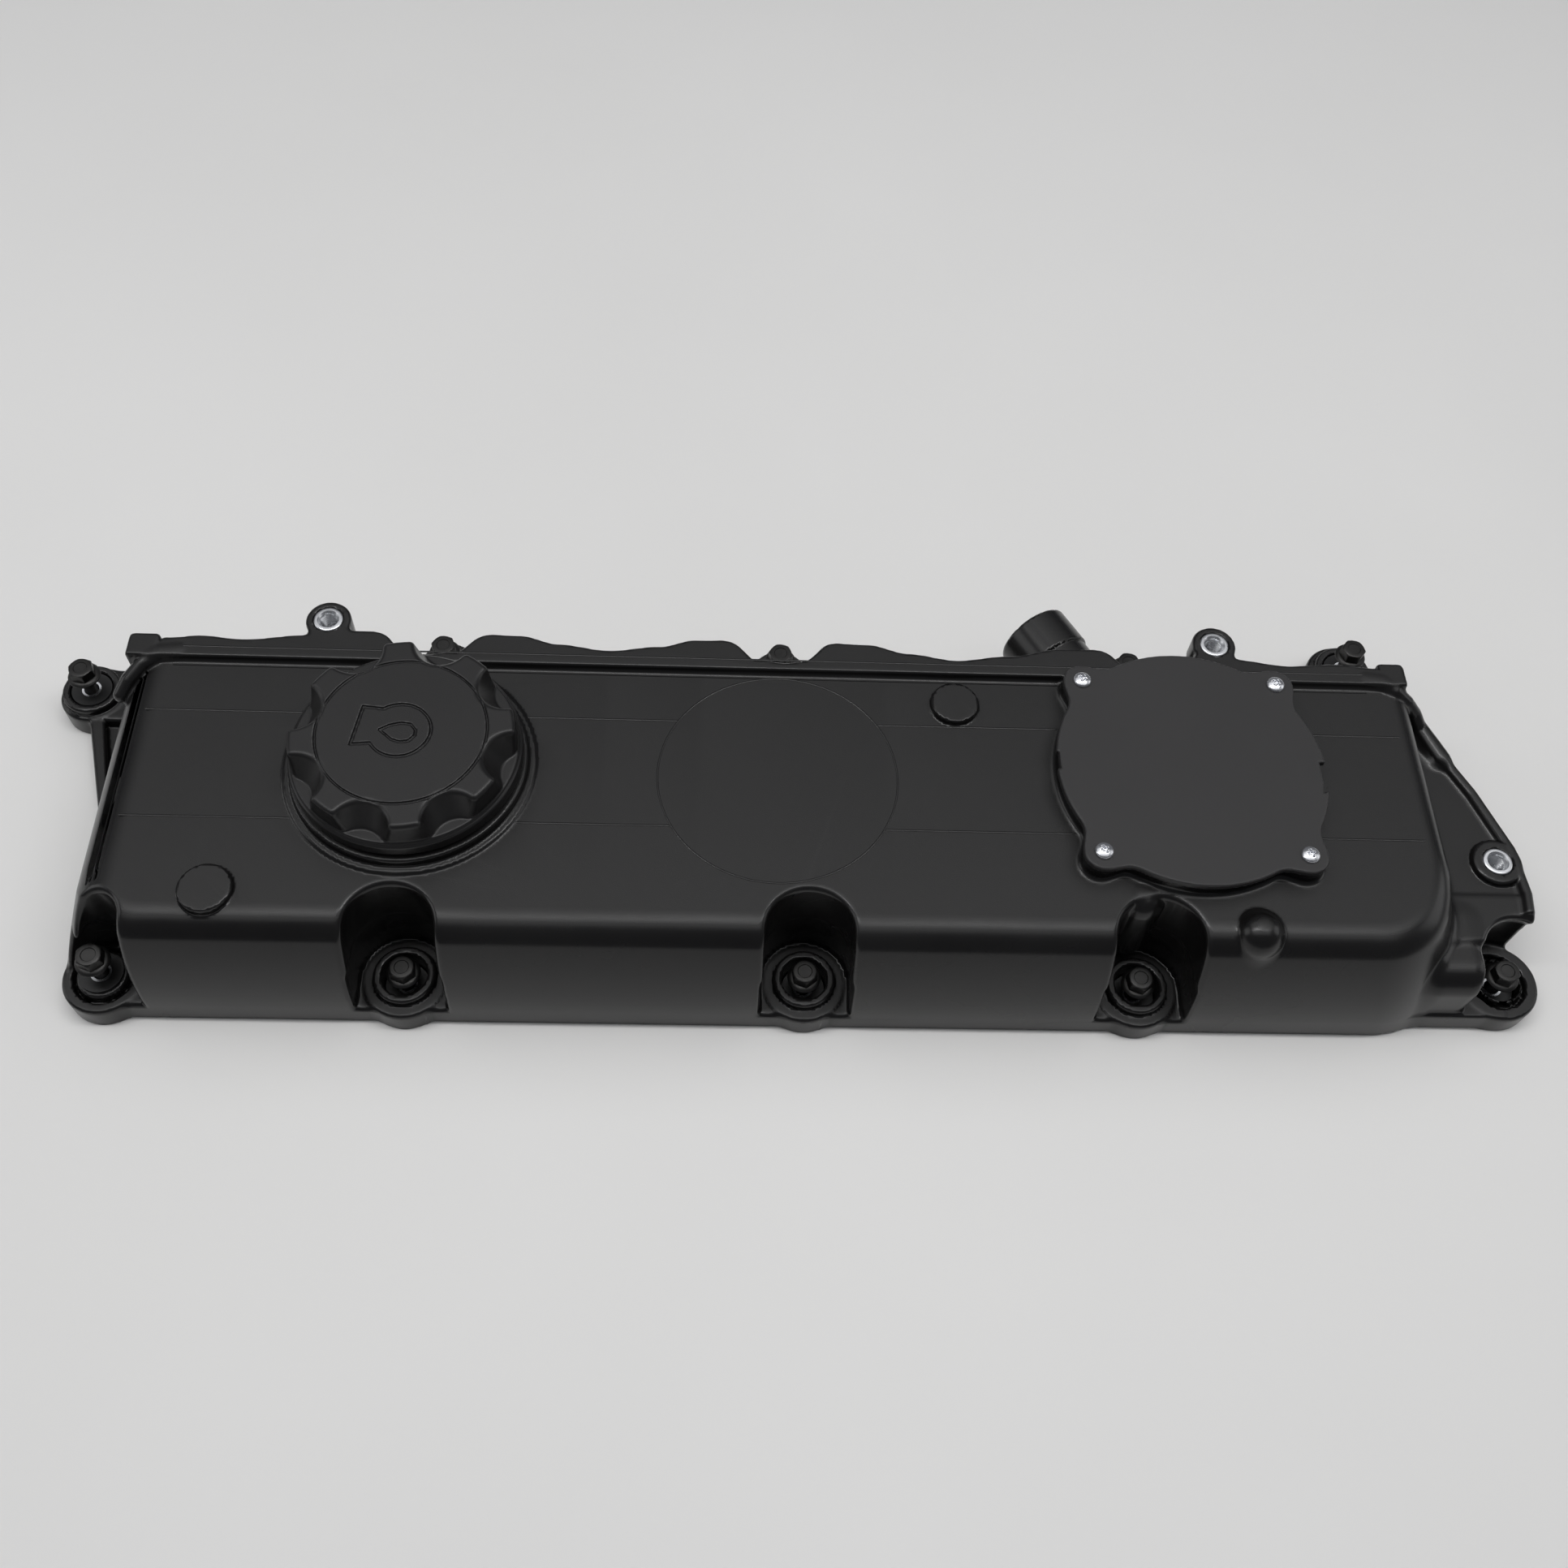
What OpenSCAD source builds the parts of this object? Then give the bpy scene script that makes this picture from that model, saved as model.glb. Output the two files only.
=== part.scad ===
// Moulded valve cover of an inline four-cylinder diesel engine, with its oil filler cap,
// crankcase breather valve, captive bolts and gasket. Millimetres, +Z up.
// The origin is the middle of the cover's footprint, on the sealing plane.
// X runs along the engine, the front (-Y) is the side with the drafted wall.

/* [Cover] */
// Overall length, from the rear left bolt boss to the front right one
overall_length = 661; // [657:1:665]
// Overall width, from the front bolt bosses to the rear right one
overall_width = 204; // [200:1:208]
// Height of the top deck above the sealing plane
deck_height = 62; // [60:1:66]
// Rise of the rear rail above the deck
rail_rise = 3.5; // [2:0.5:5]
// Radius along the deck's front and end edges
edge_radius = 10; // [6:1:12]
// Wall thickness of the moulding
wall = 3; // [2.5:0.5:4]

/* [Bolt bosses] */
// Radius of the pocket cut round each bolt
pocket_radius = 18; // [17:0.5:19]
// Thickness of the flange at the bolts
boss_plate = 12; // [10:1:13]
// Outer diameter of the collar round each bolt
collar_diameter = 26; // [24:1:28]
// Thread diameter of the captive bolts
bolt_diameter = 6; // [5:1:6]
// Width across flats of the bolt heads
bolt_hex = 10; // [8:1:11]
// Length under the head of the four front bolts in deep seats
short_bolt = 16; // [16:1:18]
// Length under the head of the other six bolts
long_bolt = 25; // [24:1:26]

/* [Threaded inserts] */
// Radius of the bore of the threaded inserts
insert_bore = 3.4; // [3:0.1:3.6]
// Outer diameter of the threaded inserts
insert_diameter = 13; // [12:0.5:14]
// Length of the threaded inserts
insert_length = 14; // [12:1:16]

/* [Oil filler] */
// Diameter of the filler cap across its lobes
cap_diameter = 91; // [86:1:94]
// Number of lobes round the filler cap
cap_lobes = 8; // [6:1:10]
// Height of the cap above the deck
cap_height = 26; // [24:1:28]
// Diameter of the raised collar that the cap seals on
neck_diameter = 98; // [96:1:100]
// Lift of the cap in one turn
thread_pitch = 8; // [7:1:9]

/* [Breather valve] */
// Diameter of the breather valve cover
vent_diameter = 115; // [112:1:118]
// Distance between neighbouring screws of the valve cover
screw_spacing = 85; // [84:0.5:87]
// Height of the valve cover's top above the deck
vent_height = 10; // [9:1:12]
// Travel of the valve's pressure plate
valve_travel = 2.5; // [1.5:0.5:3]
// Outer diameter of the breather outlet
outlet_diameter = 34; // [32:1:36]
// Turn of the breather outlet from straight back towards the left
outlet_angle = 30; // [26:1:32]

/* [Hidden] */
$fn = 64;
far = 60;

// Bolt places as [x, y, boss radius, long bolt or not], left to right.
FRONT = [
    [-280, -overall_width / 2 + 17, 17, true],
    [-156, -overall_width / 2 + 18, 18, false],
    [11, -overall_width / 2 + 19, 18, false],
    [153, -overall_width / 2 + 18.5, 18, false],
    [overall_length / 2 - 18, -77.5, 18, false]
];
REAR = [
    [-overall_length / 2 + 15, 57, 15, true],
    [-155, 75, 15, true],
    [1, 75, 15, true],
    [165, 75, 15, true],
    [275, overall_width / 2 - 16, 16, true]
];
BOLTS = concat(FRONT, REAR);

// Walls at the sealing plane and where the top edge radius starts.
left_foot = -301;
left_top = -282;
right_foot = 294;
right_top = 281;
front_foot = -98.5;
front_top = -91;
rear_foot = 64;
rear_top = 51;
rail_front = 41;
plate_rear = 57;
plate_dip = 7.3;
corner_block_rear = 53;
rear_deck = deck_height + rail_rise;
foot_gap = 1;
foot_wall = 9;
groove_inset = 3;
groove_width = 4;
groove_bolt_margin = -3;
gasket_height = 5;
foot_corners = [26, 36, 14, 14];
rear_pocket_y = 64;
plate_slant = 13.5;
corner_pocket = 15;

// Left and right ends of the rear plates.
PLATES = [[-266, -174], [-132, -21.5], [19.5, 144], [186, 264]];

// Bolt seats: the sleeve stands 1.5 above the counterbore's floor.
collar_top = 16;
short_seat = 6.5;
long_seat = 15.5;
seat_step = 1.5;
head_flange = 1.5;
head_height = 7;
flange_radius = 7.1;
tip_gap = 0.3;
sleeve_outer = 4.3;
sleeve_bore = bolt_diameter / 2 + 0.35;
grommet_radius = 6.5;
grommet_lip = 9;
counterbore = 9.5;

// Round pads on the deck, and the dome at its front edge.
DECK_PADS = [[-228, -70.5], [75, 26.5]];
pad_radius = 10.6;
pad_rise = 3;
DOME = [193, -80];
dome_radius = 10;
dome_middle = deck_height - 4;

// Threaded inserts: place, and the height of the insert's top.
bush_sides = 16;
ear_radius = 9.8;
EAR_LEFT = [-199, 62.5];
EAR_RIGHT = [194, 61];
BRACKET_BOSS = [310, -35];
ear_top = rear_deck;
bracket_top = 40;
bracket_boss_top = 43;
bracket_thick = 5;
bracket_skirt = 14;
bracket_rib = 3;

// Ribs under the roof, across the engine.
ROOF_RIBS = [-235, -75, -35, 45, 75];
rib_depth = 14;

// Oil filler.
NECK = [-155, -10];
neck_top = deck_height + 5.5;
neck_bore = 30;
neck_foot = deck_height - 20;
seal_top = neck_top + 2.5;
cap_top = deck_height + cap_height;
skirt_top = seal_top + 5;
skirt_radius = 47.5;
cap_wall = 4;
plug_radius = 27;
plug_lid = 33;
plug_foot = neck_foot + 5;
grip_turn = -14;
lug_height = 2;
lug_reach = 2.2;
lug_angle = 20;
lug_step = 45;

// Breather valve.
VENT = [172.5, -8];
vent_top = deck_height + vent_height;
vent_plate = 3;
vent_rim = vent_top - vent_plate;
vent_corner = 8;
screw_radius = 1.85;
screw_hole = 2.3;
screw_pilot = 1.9;
screw_length = 10;
screw_head = [3.9, 2.4];
housing_radius = vent_diameter / 2 - 1.5;
chamber_radius = housing_radius - 7.5;
bead_radius = housing_radius - 4;
chamber_floor = 50;
port_outer = 13;
port_bore = 10;
port_top = 60;
diaphragm_thick = 1.2;
plate_radius = 26;
plate_thick = 2;
plate_foot = port_top + valve_travel + 0.5;
spring_radius = 17;
spring_wire = 0.9;
spring_turns = 4;
GAS_ANGLES = [200:35:340];
gas_circle = 36;
gas_hole = 5;
outlet_z = 38;
outlet_bore = outlet_diameter / 2 - 3.5;
outlet_length = 107;
outlet_stub = 19;

// Oil separator box under the valve, and the baffle that closes it.
BOX_LOW = [100, -58];
BOX_HIGH = [252, 42];
box_foot = 20;
baffle_thick = 2;
BAFFLE_SCREWS = [[112, -46], [240, -46], [240, 30], [112, 30]];

// Points of an arc round a centre, from one angle to another.
function arc(centre, radius, from, to, steps = 8) =
    [for (i = [0:steps]) let (a = from + (to - from) * i / steps)
        [centre[0] + radius * cos(a), centre[1] + radius * sin(a)]];

module at(place, z = 0) {
    translate([place[0], place[1], z]) children();
}

// The cover's outline across the engine (y, z), pulled in by an inset.
module cross_outline(inset) {
    top = deck_height - inset;
    r = edge_radius - inset;
    centre = [front_top + edge_radius, deck_height - edge_radius];
    polygon(concat(
        [[front_foot + inset, -1]],
        arc(centre, r, 175, 90),
        [[rear_top - inset, top], [rear_foot - inset, -1]]
    ));
}

// The cover's outline along the engine (x, z), pulled in by an inset.
module long_outline(inset) {
    r = edge_radius - inset;
    left = [left_top + edge_radius, deck_height - edge_radius];
    right = [right_top - edge_radius, deck_height - edge_radius];
    polygon(concat(
        [[left_foot + inset, -1]],
        arc(left, r, 170, 90),
        arc(right, r, 90, 10),
        [[right_foot - inset, -1]]
    ));
}

// A rectangle with round corners, pulled in by an inset.
module foot_outline(inset) {
    low = [left_foot + inset, front_foot + inset];
    high = [right_foot - inset, rear_foot - inset];
    r = [for (corner = foot_corners) corner - inset];
    polygon(concat(
        arc([low[0] + r[0], low[1] + r[0]], r[0], 180, 270),
        arc([high[0] - r[1], low[1] + r[1]], r[1], 270, 360),
        arc([high[0] - r[2], high[1] - r[2]], r[2], 0, 90),
        arc([low[0] + r[3], high[1] - r[3]], r[3], 90, 180)
    ));
}

// Plan of the bolt pockets, grown by a margin: round behind the bolt, open to the outside.
module pocket_plan(margin) {
    for (b = FRONT) {
        r = (b[3] ? corner_pocket : pocket_radius) + margin;
        translate([b[0], b[1]]) circle(r);
        translate([b[0] - r, b[1] - far]) square([2 * r, far]);
    }
    for (i = [1:3]) {
        r = pocket_radius + margin;
        translate([REAR[i][0], rear_pocket_y]) circle(r);
        translate([REAR[i][0] - r, rear_pocket_y]) square([2 * r, far]);
    }
}

// The plan inside the cover, whose edge passes inside every bolt.
module inside_plan(inset, bolt_margin) {
    difference() {
        foot_outline(inset);
        pocket_plan(bolt_margin);
    }
}

// The cover's outside without bosses, pulled in by an inset to give its hollow.
module body_form(inset, foot) {
    intersection() {
        translate([left_foot - 5, 0, 0]) rotate([90, 0, 90])
            linear_extrude(right_foot - left_foot + 10) cross_outline(inset);
        translate([0, rear_foot + 5, 0]) rotate([90, 0, 0])
            linear_extrude(rear_foot - front_foot + 10) long_outline(inset);
        translate([0, 0, foot]) linear_extrude(deck_height) foot_outline(0);
    }
}

// Edge of one rear plate: level at both ends, with a shallow dip between them. The plate's ends slant
// outwards from here to the rail, so the notch behind each bolt is narrow at its bottom.
function plate_edge(from, to, steps = 12) =
    [for (i = [0:steps])
        [from + (to - from) * i / steps, plate_rear - plate_dip * pow(sin(180 * i / steps), 2)]];

// Raised deck behind the rail, with its wavy plates between the rear pockets.
module rear_deck_block() {
    thick = rear_deck - deck_height + 8;
    translate([left_top - 1, rail_front, deck_height - 8])
        cube([right_top - left_top - 2, rear_top - rail_front, thick]);
    for (p = PLATES)
        translate([0, 0, deck_height - 8]) linear_extrude(thick)
            polygon(concat([[p[1] + plate_slant, rail_front], [p[0] - plate_slant, rail_front]],
                plate_edge(p[0], p[1])));
    for (x = [left_top - 1, right_top - 14])
        translate([x, rail_front, deck_height - 14]) cube([12, corner_block_rear - rail_front, thick + 6]);
}

// Flange and collar round one bolt, and the web that ties it to the wall.
module bolt_boss(b) {
    at(b) cylinder(r = b[2], h = boss_plate);
    at(b) cylinder(d = collar_diameter, h = collar_top);
}

module boss_webs() {
    for (i = [1:3])
        translate([REAR[i][0] - REAR[i][2], rear_foot - 14, 0])
            cube([2 * REAR[i][2], REAR[i][1] - rear_foot + 14, boss_plate]);
    linear_extrude(boss_plate)
        polygon([[-317, 50], [left_foot + 2, -8], [left_foot + 14, -8], [left_foot + 14, 71], [-316, 71]]);
    translate([REAR[4][0] - 16, rear_foot - 14, 0]) cube([32, REAR[4][1] - rear_foot + 14, boss_plate]);
    translate([right_foot - 30, FRONT[4][1] - 18, 0]) cube([FRONT[4][0] - right_foot + 30, 36, boss_plate]);
}

// Stepped bore for one bolt: grommet below, counterbore above.
module bolt_bore(b) {
    seat = b[3] ? long_seat : short_seat;
    at(b, -1) cylinder(r = grommet_radius, h = collar_top + 2);
    at(b, seat - seat_step) cylinder(r = counterbore, h = far);
}

module rear_ears() {
    for (p = [EAR_LEFT, EAR_RIGHT]) {
        at(p, ear_top - insert_length - 4) cylinder(r = ear_radius, h = insert_length + 4);
        translate([p[0] - ear_radius, rail_front + 2, ear_top - insert_length - 4])
            cube([2 * ear_radius, p[1] - rail_front - 2, insert_length + 4]);
    }
}

module bracket_plan() {
    polygon([[268, 46], [288, 46], [321, -23], [320, -66], [314, -72], [268, -72]]);
}

// Bracket at the right end: a plate with a skirt along its outer edge, round the last front bolt's pocket.
module bracket() {
    translate([0, 0, bracket_top - bracket_thick]) linear_extrude(bracket_thick) bracket_plan();
    translate([0, 0, bracket_top - bracket_skirt]) linear_extrude(bracket_skirt + bracket_rib)
        polygon([[284, 46], [288, 46], [321, -23], [320, -66], [316, -64], [317, -22]]);
    at(BRACKET_BOSS, bracket_boss_top - insert_length - 2)
        cylinder(r = 10, h = insert_length + 2);
    translate([right_foot - 16, FRONT[4][1] - 12, boss_plate]) cube([16, 30, bracket_top - boss_plate]);
    intersection() {
        at(FRONT[4]) cylinder(r = pocket_radius + wall, h = bracket_top - 1);
        linear_extrude(bracket_top) bracket_plan();
    }
}

module filler_neck_solid() {
    at(NECK, deck_height - wall) cylinder(d = neck_diameter, h = neck_top - deck_height + wall);
    at(NECK, neck_foot) cylinder(r = neck_bore + wall, h = neck_top - neck_foot);
}

// Lugs inside the neck, half a pitch above the cap's own row of lugs.
module neck_lugs() {
    for (i = [0:7])
        at(NECK, neck_foot + 9 + thread_pitch * (i * lug_step / 360))
            rotate([0, 0, i * lug_step])
                rotate_extrude(angle = lug_angle)
                    translate([neck_bore - lug_reach, 0]) square([lug_reach + 1, lug_height]);
}

// Plan of the valve housing: a disc with four screw corners.
module vent_plan(radius, corner) {
    circle(radius);
    for (x = [-1, 1], y = [-1, 1])
        translate([x, y] * screw_spacing / 2) circle(corner);
}

module vent_housing() {
    at(VENT, deck_height - wall - 2)
        linear_extrude(vent_rim - deck_height + wall + 2) vent_plan(housing_radius, vent_corner - 0.5);
    at(VENT, chamber_floor - wall) cylinder(r = chamber_radius + wall, h = vent_rim - chamber_floor + wall);
}

// Round bar along the outlet's axis, from one distance to another.
module outlet_tube(radius, from, to) {
    at(VENT, outlet_z) rotate([0, 0, outlet_angle]) rotate([-90, 0, 0])
        translate([0, 0, from]) cylinder(r = radius, h = to - from);
}

module separator_walls() {
    size = BOX_HIGH - BOX_LOW;
    difference() {
        translate([BOX_LOW[0], BOX_LOW[1], box_foot])
            cube([size[0], size[1], deck_height - box_foot - 1]);
        translate([BOX_LOW[0] + wall, BOX_LOW[1] + wall, box_foot - 1])
            cube([size[0] - 2 * wall, size[1] - 2 * wall, deck_height]);
    }
    for (p = BAFFLE_SCREWS)
        at(p, box_foot) cylinder(r = 5, h = deck_height - box_foot - 1);
}

module roof_ribs() {
    for (x = ROOF_RIBS)
        translate([x - wall / 2, -70, deck_height - rib_depth]) cube([wall, 112, rib_depth - 1]);
}

module deck_pads() {
    for (pad = DECK_PADS)
        at(pad, deck_height - 1) cylinder(r = pad_radius, h = pad_rise + 1);
    at(DOME, dome_middle) sphere(r = dome_radius);
}

module cover_shell() {
    color("#26262a") difference() {
        union() {
            difference() {
                union() {
                    body_form(0, foot_gap);
                    rear_deck_block();
                    rear_ears();
                    bracket();
                }
                translate([0, 0, boss_plate]) linear_extrude(far + 20) pocket_plan(0);
                intersection() {
                    body_form(wall, -1);
                    translate([0, 0, -1])
                        linear_extrude(deck_height) inside_plan(foot_wall, wall);
                }
            }
            for (b = BOLTS) bolt_boss(b);
            boss_webs();
            filler_neck_solid();
            separator_walls();
            roof_ribs();
            deck_pads();
            vent_housing();
            outlet_tube(outlet_diameter / 2 - 1, -port_outer - 2, outlet_length - 1);
            outlet_tube(outlet_diameter / 2, outlet_length - outlet_stub, outlet_length);
        }
        for (b = BOLTS) bolt_bore(b);
        gasket_ring();
        for (p = [EAR_LEFT, EAR_RIGHT])
            at(p, ear_top - insert_length) knurled_bar(insert_length + 1);
        at(BRACKET_BOSS, bracket_boss_top - insert_length) knurled_bar(insert_length + 1);
        at(NECK, neck_foot - 1) cylinder(r = neck_bore, h = far);
        at(VENT, chamber_floor) difference() {
            cylinder(r = chamber_radius, h = far);
            translate([0, 0, -1]) cylinder(r = port_outer, h = port_top - chamber_floor + 1);
        }
        at(VENT, vent_rim - diaphragm_thick) cylinder(r = bead_radius, h = far);
        at(VENT, outlet_z) cylinder(r = port_bore, h = far);
        outlet_tube(outlet_bore, 2 - port_bore, outlet_length + 1);
        for (a = GAS_ANGLES)
            at(VENT + gas_circle * [cos(a), sin(a)], chamber_floor - 10) cylinder(r = gas_hole, h = 12);
        for (x = [-1, 1], y = [-1, 1])
            at(VENT + [x, y] * screw_spacing / 2, vent_rim - 9) cylinder(r = screw_pilot, h = 10);
        for (p = BAFFLE_SCREWS)
            at(p, box_foot - 1) cylinder(r = screw_pilot, h = 11);
    }
    color("#26262a") neck_lugs();
}

// Seal strip that runs inside every bolt, in a groove of the same outline.
module gasket_ring() {
    linear_extrude(gasket_height) difference() {
        inside_plan(groove_inset, groove_bolt_margin);
        inside_plan(groove_inset + groove_width, groove_bolt_margin + groove_width);
    }
}

module perimeter_gasket() {
    color("#3a3a3a") gasket_ring();
}

// Captive flange bolt, raised until its tip is just clear of the sealing plane.
module flange_bolt(b) {
    length = b[3] ? long_bolt : short_bolt;
    color("#1c1c1c") at(b, tip_gap) {
        cylinder(d = bolt_diameter, h = length + 1);
        translate([0, 0, length]) cylinder(r = flange_radius, h = head_flange);
        translate([0, 0, length]) cylinder(r = bolt_hex / 2 / cos(30), h = head_height, $fn = 6);
    }
}

module bolt_grommets() {
    color("#202020") for (b = BOLTS) {
        seat = b[3] ? long_seat : short_seat;
        at(b) difference() {
            union() {
                cylinder(r = grommet_radius, h = seat - seat_step);
                translate([0, 0, seat - seat_step]) cylinder(r = grommet_lip, h = seat_step - 0.3);
            }
            translate([0, 0, -1]) cylinder(r = sleeve_outer, h = seat + 2);
        }
    }
}

module limiter_sleeves() {
    color("#b8bbc0") for (b = BOLTS) {
        seat = b[3] ? long_seat : short_seat;
        at(b) difference() {
            cylinder(r = sleeve_outer, h = seat);
            translate([0, 0, -1]) cylinder(r = sleeve_bore, h = seat + 2);
        }
    }
}

// The many-sided outside of a threaded bush, which keeps it from turning in the moulding.
module knurled_bar(height) {
    cylinder(d = insert_diameter, h = height, $fn = bush_sides);
}

// Threaded bush with a chamfered mouth, its top face at the given height.
module insert(place, top) {
    mouth = 1;
    color("#d0d2d4") at(place, top - insert_length) difference() {
        knurled_bar(insert_length);
        translate([0, 0, -1]) cylinder(r = insert_bore, h = insert_length + 2);
        translate([0, 0, insert_length - mouth])
            cylinder(r1 = insert_bore, r2 = insert_bore + mouth, h = mouth);
    }
}

module insert_rear_left() {
    insert(EAR_LEFT, ear_top);
}

module insert_rear_right() {
    insert(EAR_RIGHT, ear_top);
}

module insert_bracket() {
    insert(BRACKET_BOSS, bracket_boss_top);
}

// Plan of the cap's grip: a disc with a scallop between neighbouring lobes.
module grip_plan() {
    scallop = 12;
    difference() {
        circle(d = cap_diameter);
        for (i = [0:cap_lobes - 1])
            rotate([0, 0, grip_turn + 360 * i / cap_lobes])
                translate([cap_diameter / 2 + scallop * 0.55, 0]) circle(scallop);
    }
}

module filler_cap() {
    color("#2a2a2c") at(NECK) difference() {
        union() {
            translate([0, 0, seal_top]) cylinder(r = skirt_radius, h = skirt_top - seal_top);
            translate([0, 0, skirt_top - 1]) linear_extrude(cap_top - skirt_top + 1) grip_plan();
        }
        translate([0, 0, seal_top - 1]) cylinder(r = plug_lid + 0.1, h = cap_top - cap_wall - seal_top + 1);
    }
}

// Threaded plug, joined to the underside of the cap, with its row of thread lugs.
module cap_plug() {
    lid = cap_top - cap_wall;
    color("#303033") at(NECK) {
        difference() {
            union() {
                translate([0, 0, plug_foot]) cylinder(r = plug_radius, h = lid - plug_foot);
                translate([0, 0, lid - 3]) cylinder(r = plug_lid, h = 3);
            }
            translate([0, 0, plug_foot + 3]) cylinder(r = plug_radius - 3.5, h = far);
        }
        for (i = [0:7])
            translate([0, 0, neck_foot + 9 - thread_pitch / 2 + thread_pitch * (i * lug_step / 360)])
                rotate([0, 0, i * lug_step])
                    rotate_extrude(angle = lug_angle)
                        translate([plug_radius - 1, 0]) square([lug_reach + 1, lug_height]);
    }
}

module cap_seal() {
    color("#141414") at(NECK, neck_top) difference() {
        cylinder(r = skirt_radius - 1.5, h = seal_top - neck_top);
        translate([0, 0, -1]) cylinder(r = skirt_radius - 8, h = far);
    }
}

module vent_cover() {
    color("#323235") at(VENT, vent_rim) difference() {
        linear_extrude(vent_plate) vent_plan(vent_diameter / 2, vent_corner);
        for (x = [-1, 1], y = [-1, 1])
            at([x, y] * screw_spacing / 2, -1) cylinder(r = screw_hole, h = vent_plate + 2);
    }
}

// Pan-head screw pointing down, with its head's underside at z = 0.
module pan_screw() {
    cylinder(r = screw_head[0], h = screw_head[1]);
    translate([0, 0, -screw_length]) cylinder(r = screw_radius, h = screw_length + 1);
}

module vent_screws() {
    color("#c8cacc") for (x = [-1, 1], y = [-1, 1])
        at(VENT + [x, y] * screw_spacing / 2, vent_top) pan_screw();
}

// Rolled rubber disc: a clamped bead outside, and a flat middle on the pressure plate.
module diaphragm() {
    low = plate_foot + plate_thick;
    high = vent_rim - diaphragm_thick;
    color("#1a1a1a") at(VENT) rotate_extrude() polygon([
        [0, low], [plate_radius, low], [chamber_radius - 2, high],
        [bead_radius - 0.1, high], [bead_radius - 0.1, vent_rim],
        [chamber_radius - 3, vent_rim], [plate_radius - 1, low + diaphragm_thick], [0, low + diaphragm_thick]
    ]);
}

module pressure_plate() {
    color("#8a8d90") at(VENT, plate_foot) cylinder(r = plate_radius, h = plate_thick);
}

// Helical spring, swept as rings of points along its turns.
module valve_spring() {
    sides = 8;
    steps = 24 * spring_turns;
    height = plate_foot - chamber_floor - 2 * spring_wire;
    function ring(k) =
        let (a = 360 * k / 24, z = chamber_floor + spring_wire + height * k / steps)
        [for (i = [0:sides - 1]) let (b = 360 * i / sides, r = spring_radius + spring_wire * cos(b))
            [r * cos(a), r * sin(a), z + spring_wire * sin(b)]];
    points = [for (k = [0:steps]) each ring(k)];
    skin = [for (k = [0:steps - 1], i = [0:sides - 1]) let (j = (i + 1) % sides)
        [k * sides + i, k * sides + j, (k + 1) * sides + j, (k + 1) * sides + i]];
    first = [for (i = [sides - 1:-1:0]) i];
    last = [for (i = [0:sides - 1]) steps * sides + i];
    color("#b0b4b8") at(VENT) polyhedron(points, concat([first, last], skin));
}

// Plate that closes the separator box, with a gas inlet slot and a drain hole.
module separator_baffle() {
    size = BOX_HIGH - BOX_LOW;
    color("#2e2e30") difference() {
        translate([BOX_LOW[0], BOX_LOW[1], box_foot - baffle_thick]) cube([size[0], size[1], baffle_thick]);
        translate([BOX_LOW[0] + 12, BOX_LOW[1] + size[1] / 2 - 20, 0]) cube([10, 40, far]);
        at([BOX_HIGH[0] - 12, BOX_LOW[1] + size[1] / 2]) cylinder(r = 3, h = far);
        for (p = BAFFLE_SCREWS) at(p) cylinder(r = screw_hole, h = far);
    }
}

module baffle_screws() {
    color("#c8cacc") for (p = BAFFLE_SCREWS)
        at(p, box_foot - baffle_thick) rotate([180, 0, 0]) pan_screw();
}

cover_shell();
perimeter_gasket();
flange_bolt(FRONT[0]);  // bolt_front_1
flange_bolt(FRONT[1]);  // bolt_front_2
flange_bolt(FRONT[2]);  // bolt_front_3
flange_bolt(FRONT[3]);  // bolt_front_4
flange_bolt(FRONT[4]);  // bolt_front_5
flange_bolt(REAR[0]);  // bolt_rear_1
flange_bolt(REAR[1]);  // bolt_rear_2
flange_bolt(REAR[2]);  // bolt_rear_3
flange_bolt(REAR[3]);  // bolt_rear_4
flange_bolt(REAR[4]);  // bolt_rear_5
bolt_grommets();
limiter_sleeves();
insert_rear_left();
insert_rear_right();
insert_bracket();
filler_cap();
cap_plug();
cap_seal();
vent_cover();
vent_screws();
diaphragm();
pressure_plate();
valve_spring();
separator_baffle();
baffle_screws();
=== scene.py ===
import bpy
import math
import numpy as np
from mathutils import Matrix, Vector


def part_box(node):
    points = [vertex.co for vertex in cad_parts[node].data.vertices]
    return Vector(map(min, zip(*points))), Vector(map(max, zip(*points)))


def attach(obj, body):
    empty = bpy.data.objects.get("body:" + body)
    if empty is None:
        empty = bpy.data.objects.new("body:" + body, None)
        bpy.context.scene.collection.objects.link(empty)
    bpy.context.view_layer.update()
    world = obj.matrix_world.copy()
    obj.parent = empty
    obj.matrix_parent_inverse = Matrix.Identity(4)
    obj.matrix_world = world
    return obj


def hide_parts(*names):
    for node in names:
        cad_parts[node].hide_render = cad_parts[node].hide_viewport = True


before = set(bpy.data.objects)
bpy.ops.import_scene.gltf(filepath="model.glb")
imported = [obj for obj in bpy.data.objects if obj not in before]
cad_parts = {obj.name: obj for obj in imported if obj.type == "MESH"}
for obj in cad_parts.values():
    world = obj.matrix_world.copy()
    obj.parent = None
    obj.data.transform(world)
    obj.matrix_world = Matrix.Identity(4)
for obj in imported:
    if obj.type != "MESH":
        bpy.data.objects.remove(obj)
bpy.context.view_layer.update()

# Shapes are worked out in millimetres and made in metres, in the frame's own axes.
MM = 0.001


def corners(node):
    """Lowest and highest corner of a CAD node, in millimetres."""
    low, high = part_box(node)
    return np.array(low) / MM, np.array(high) / MM


def middle(node):
    low, high = corners(node)
    return (low + high) / 2


def top_of(node):
    return corners(node)[1][2]


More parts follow.
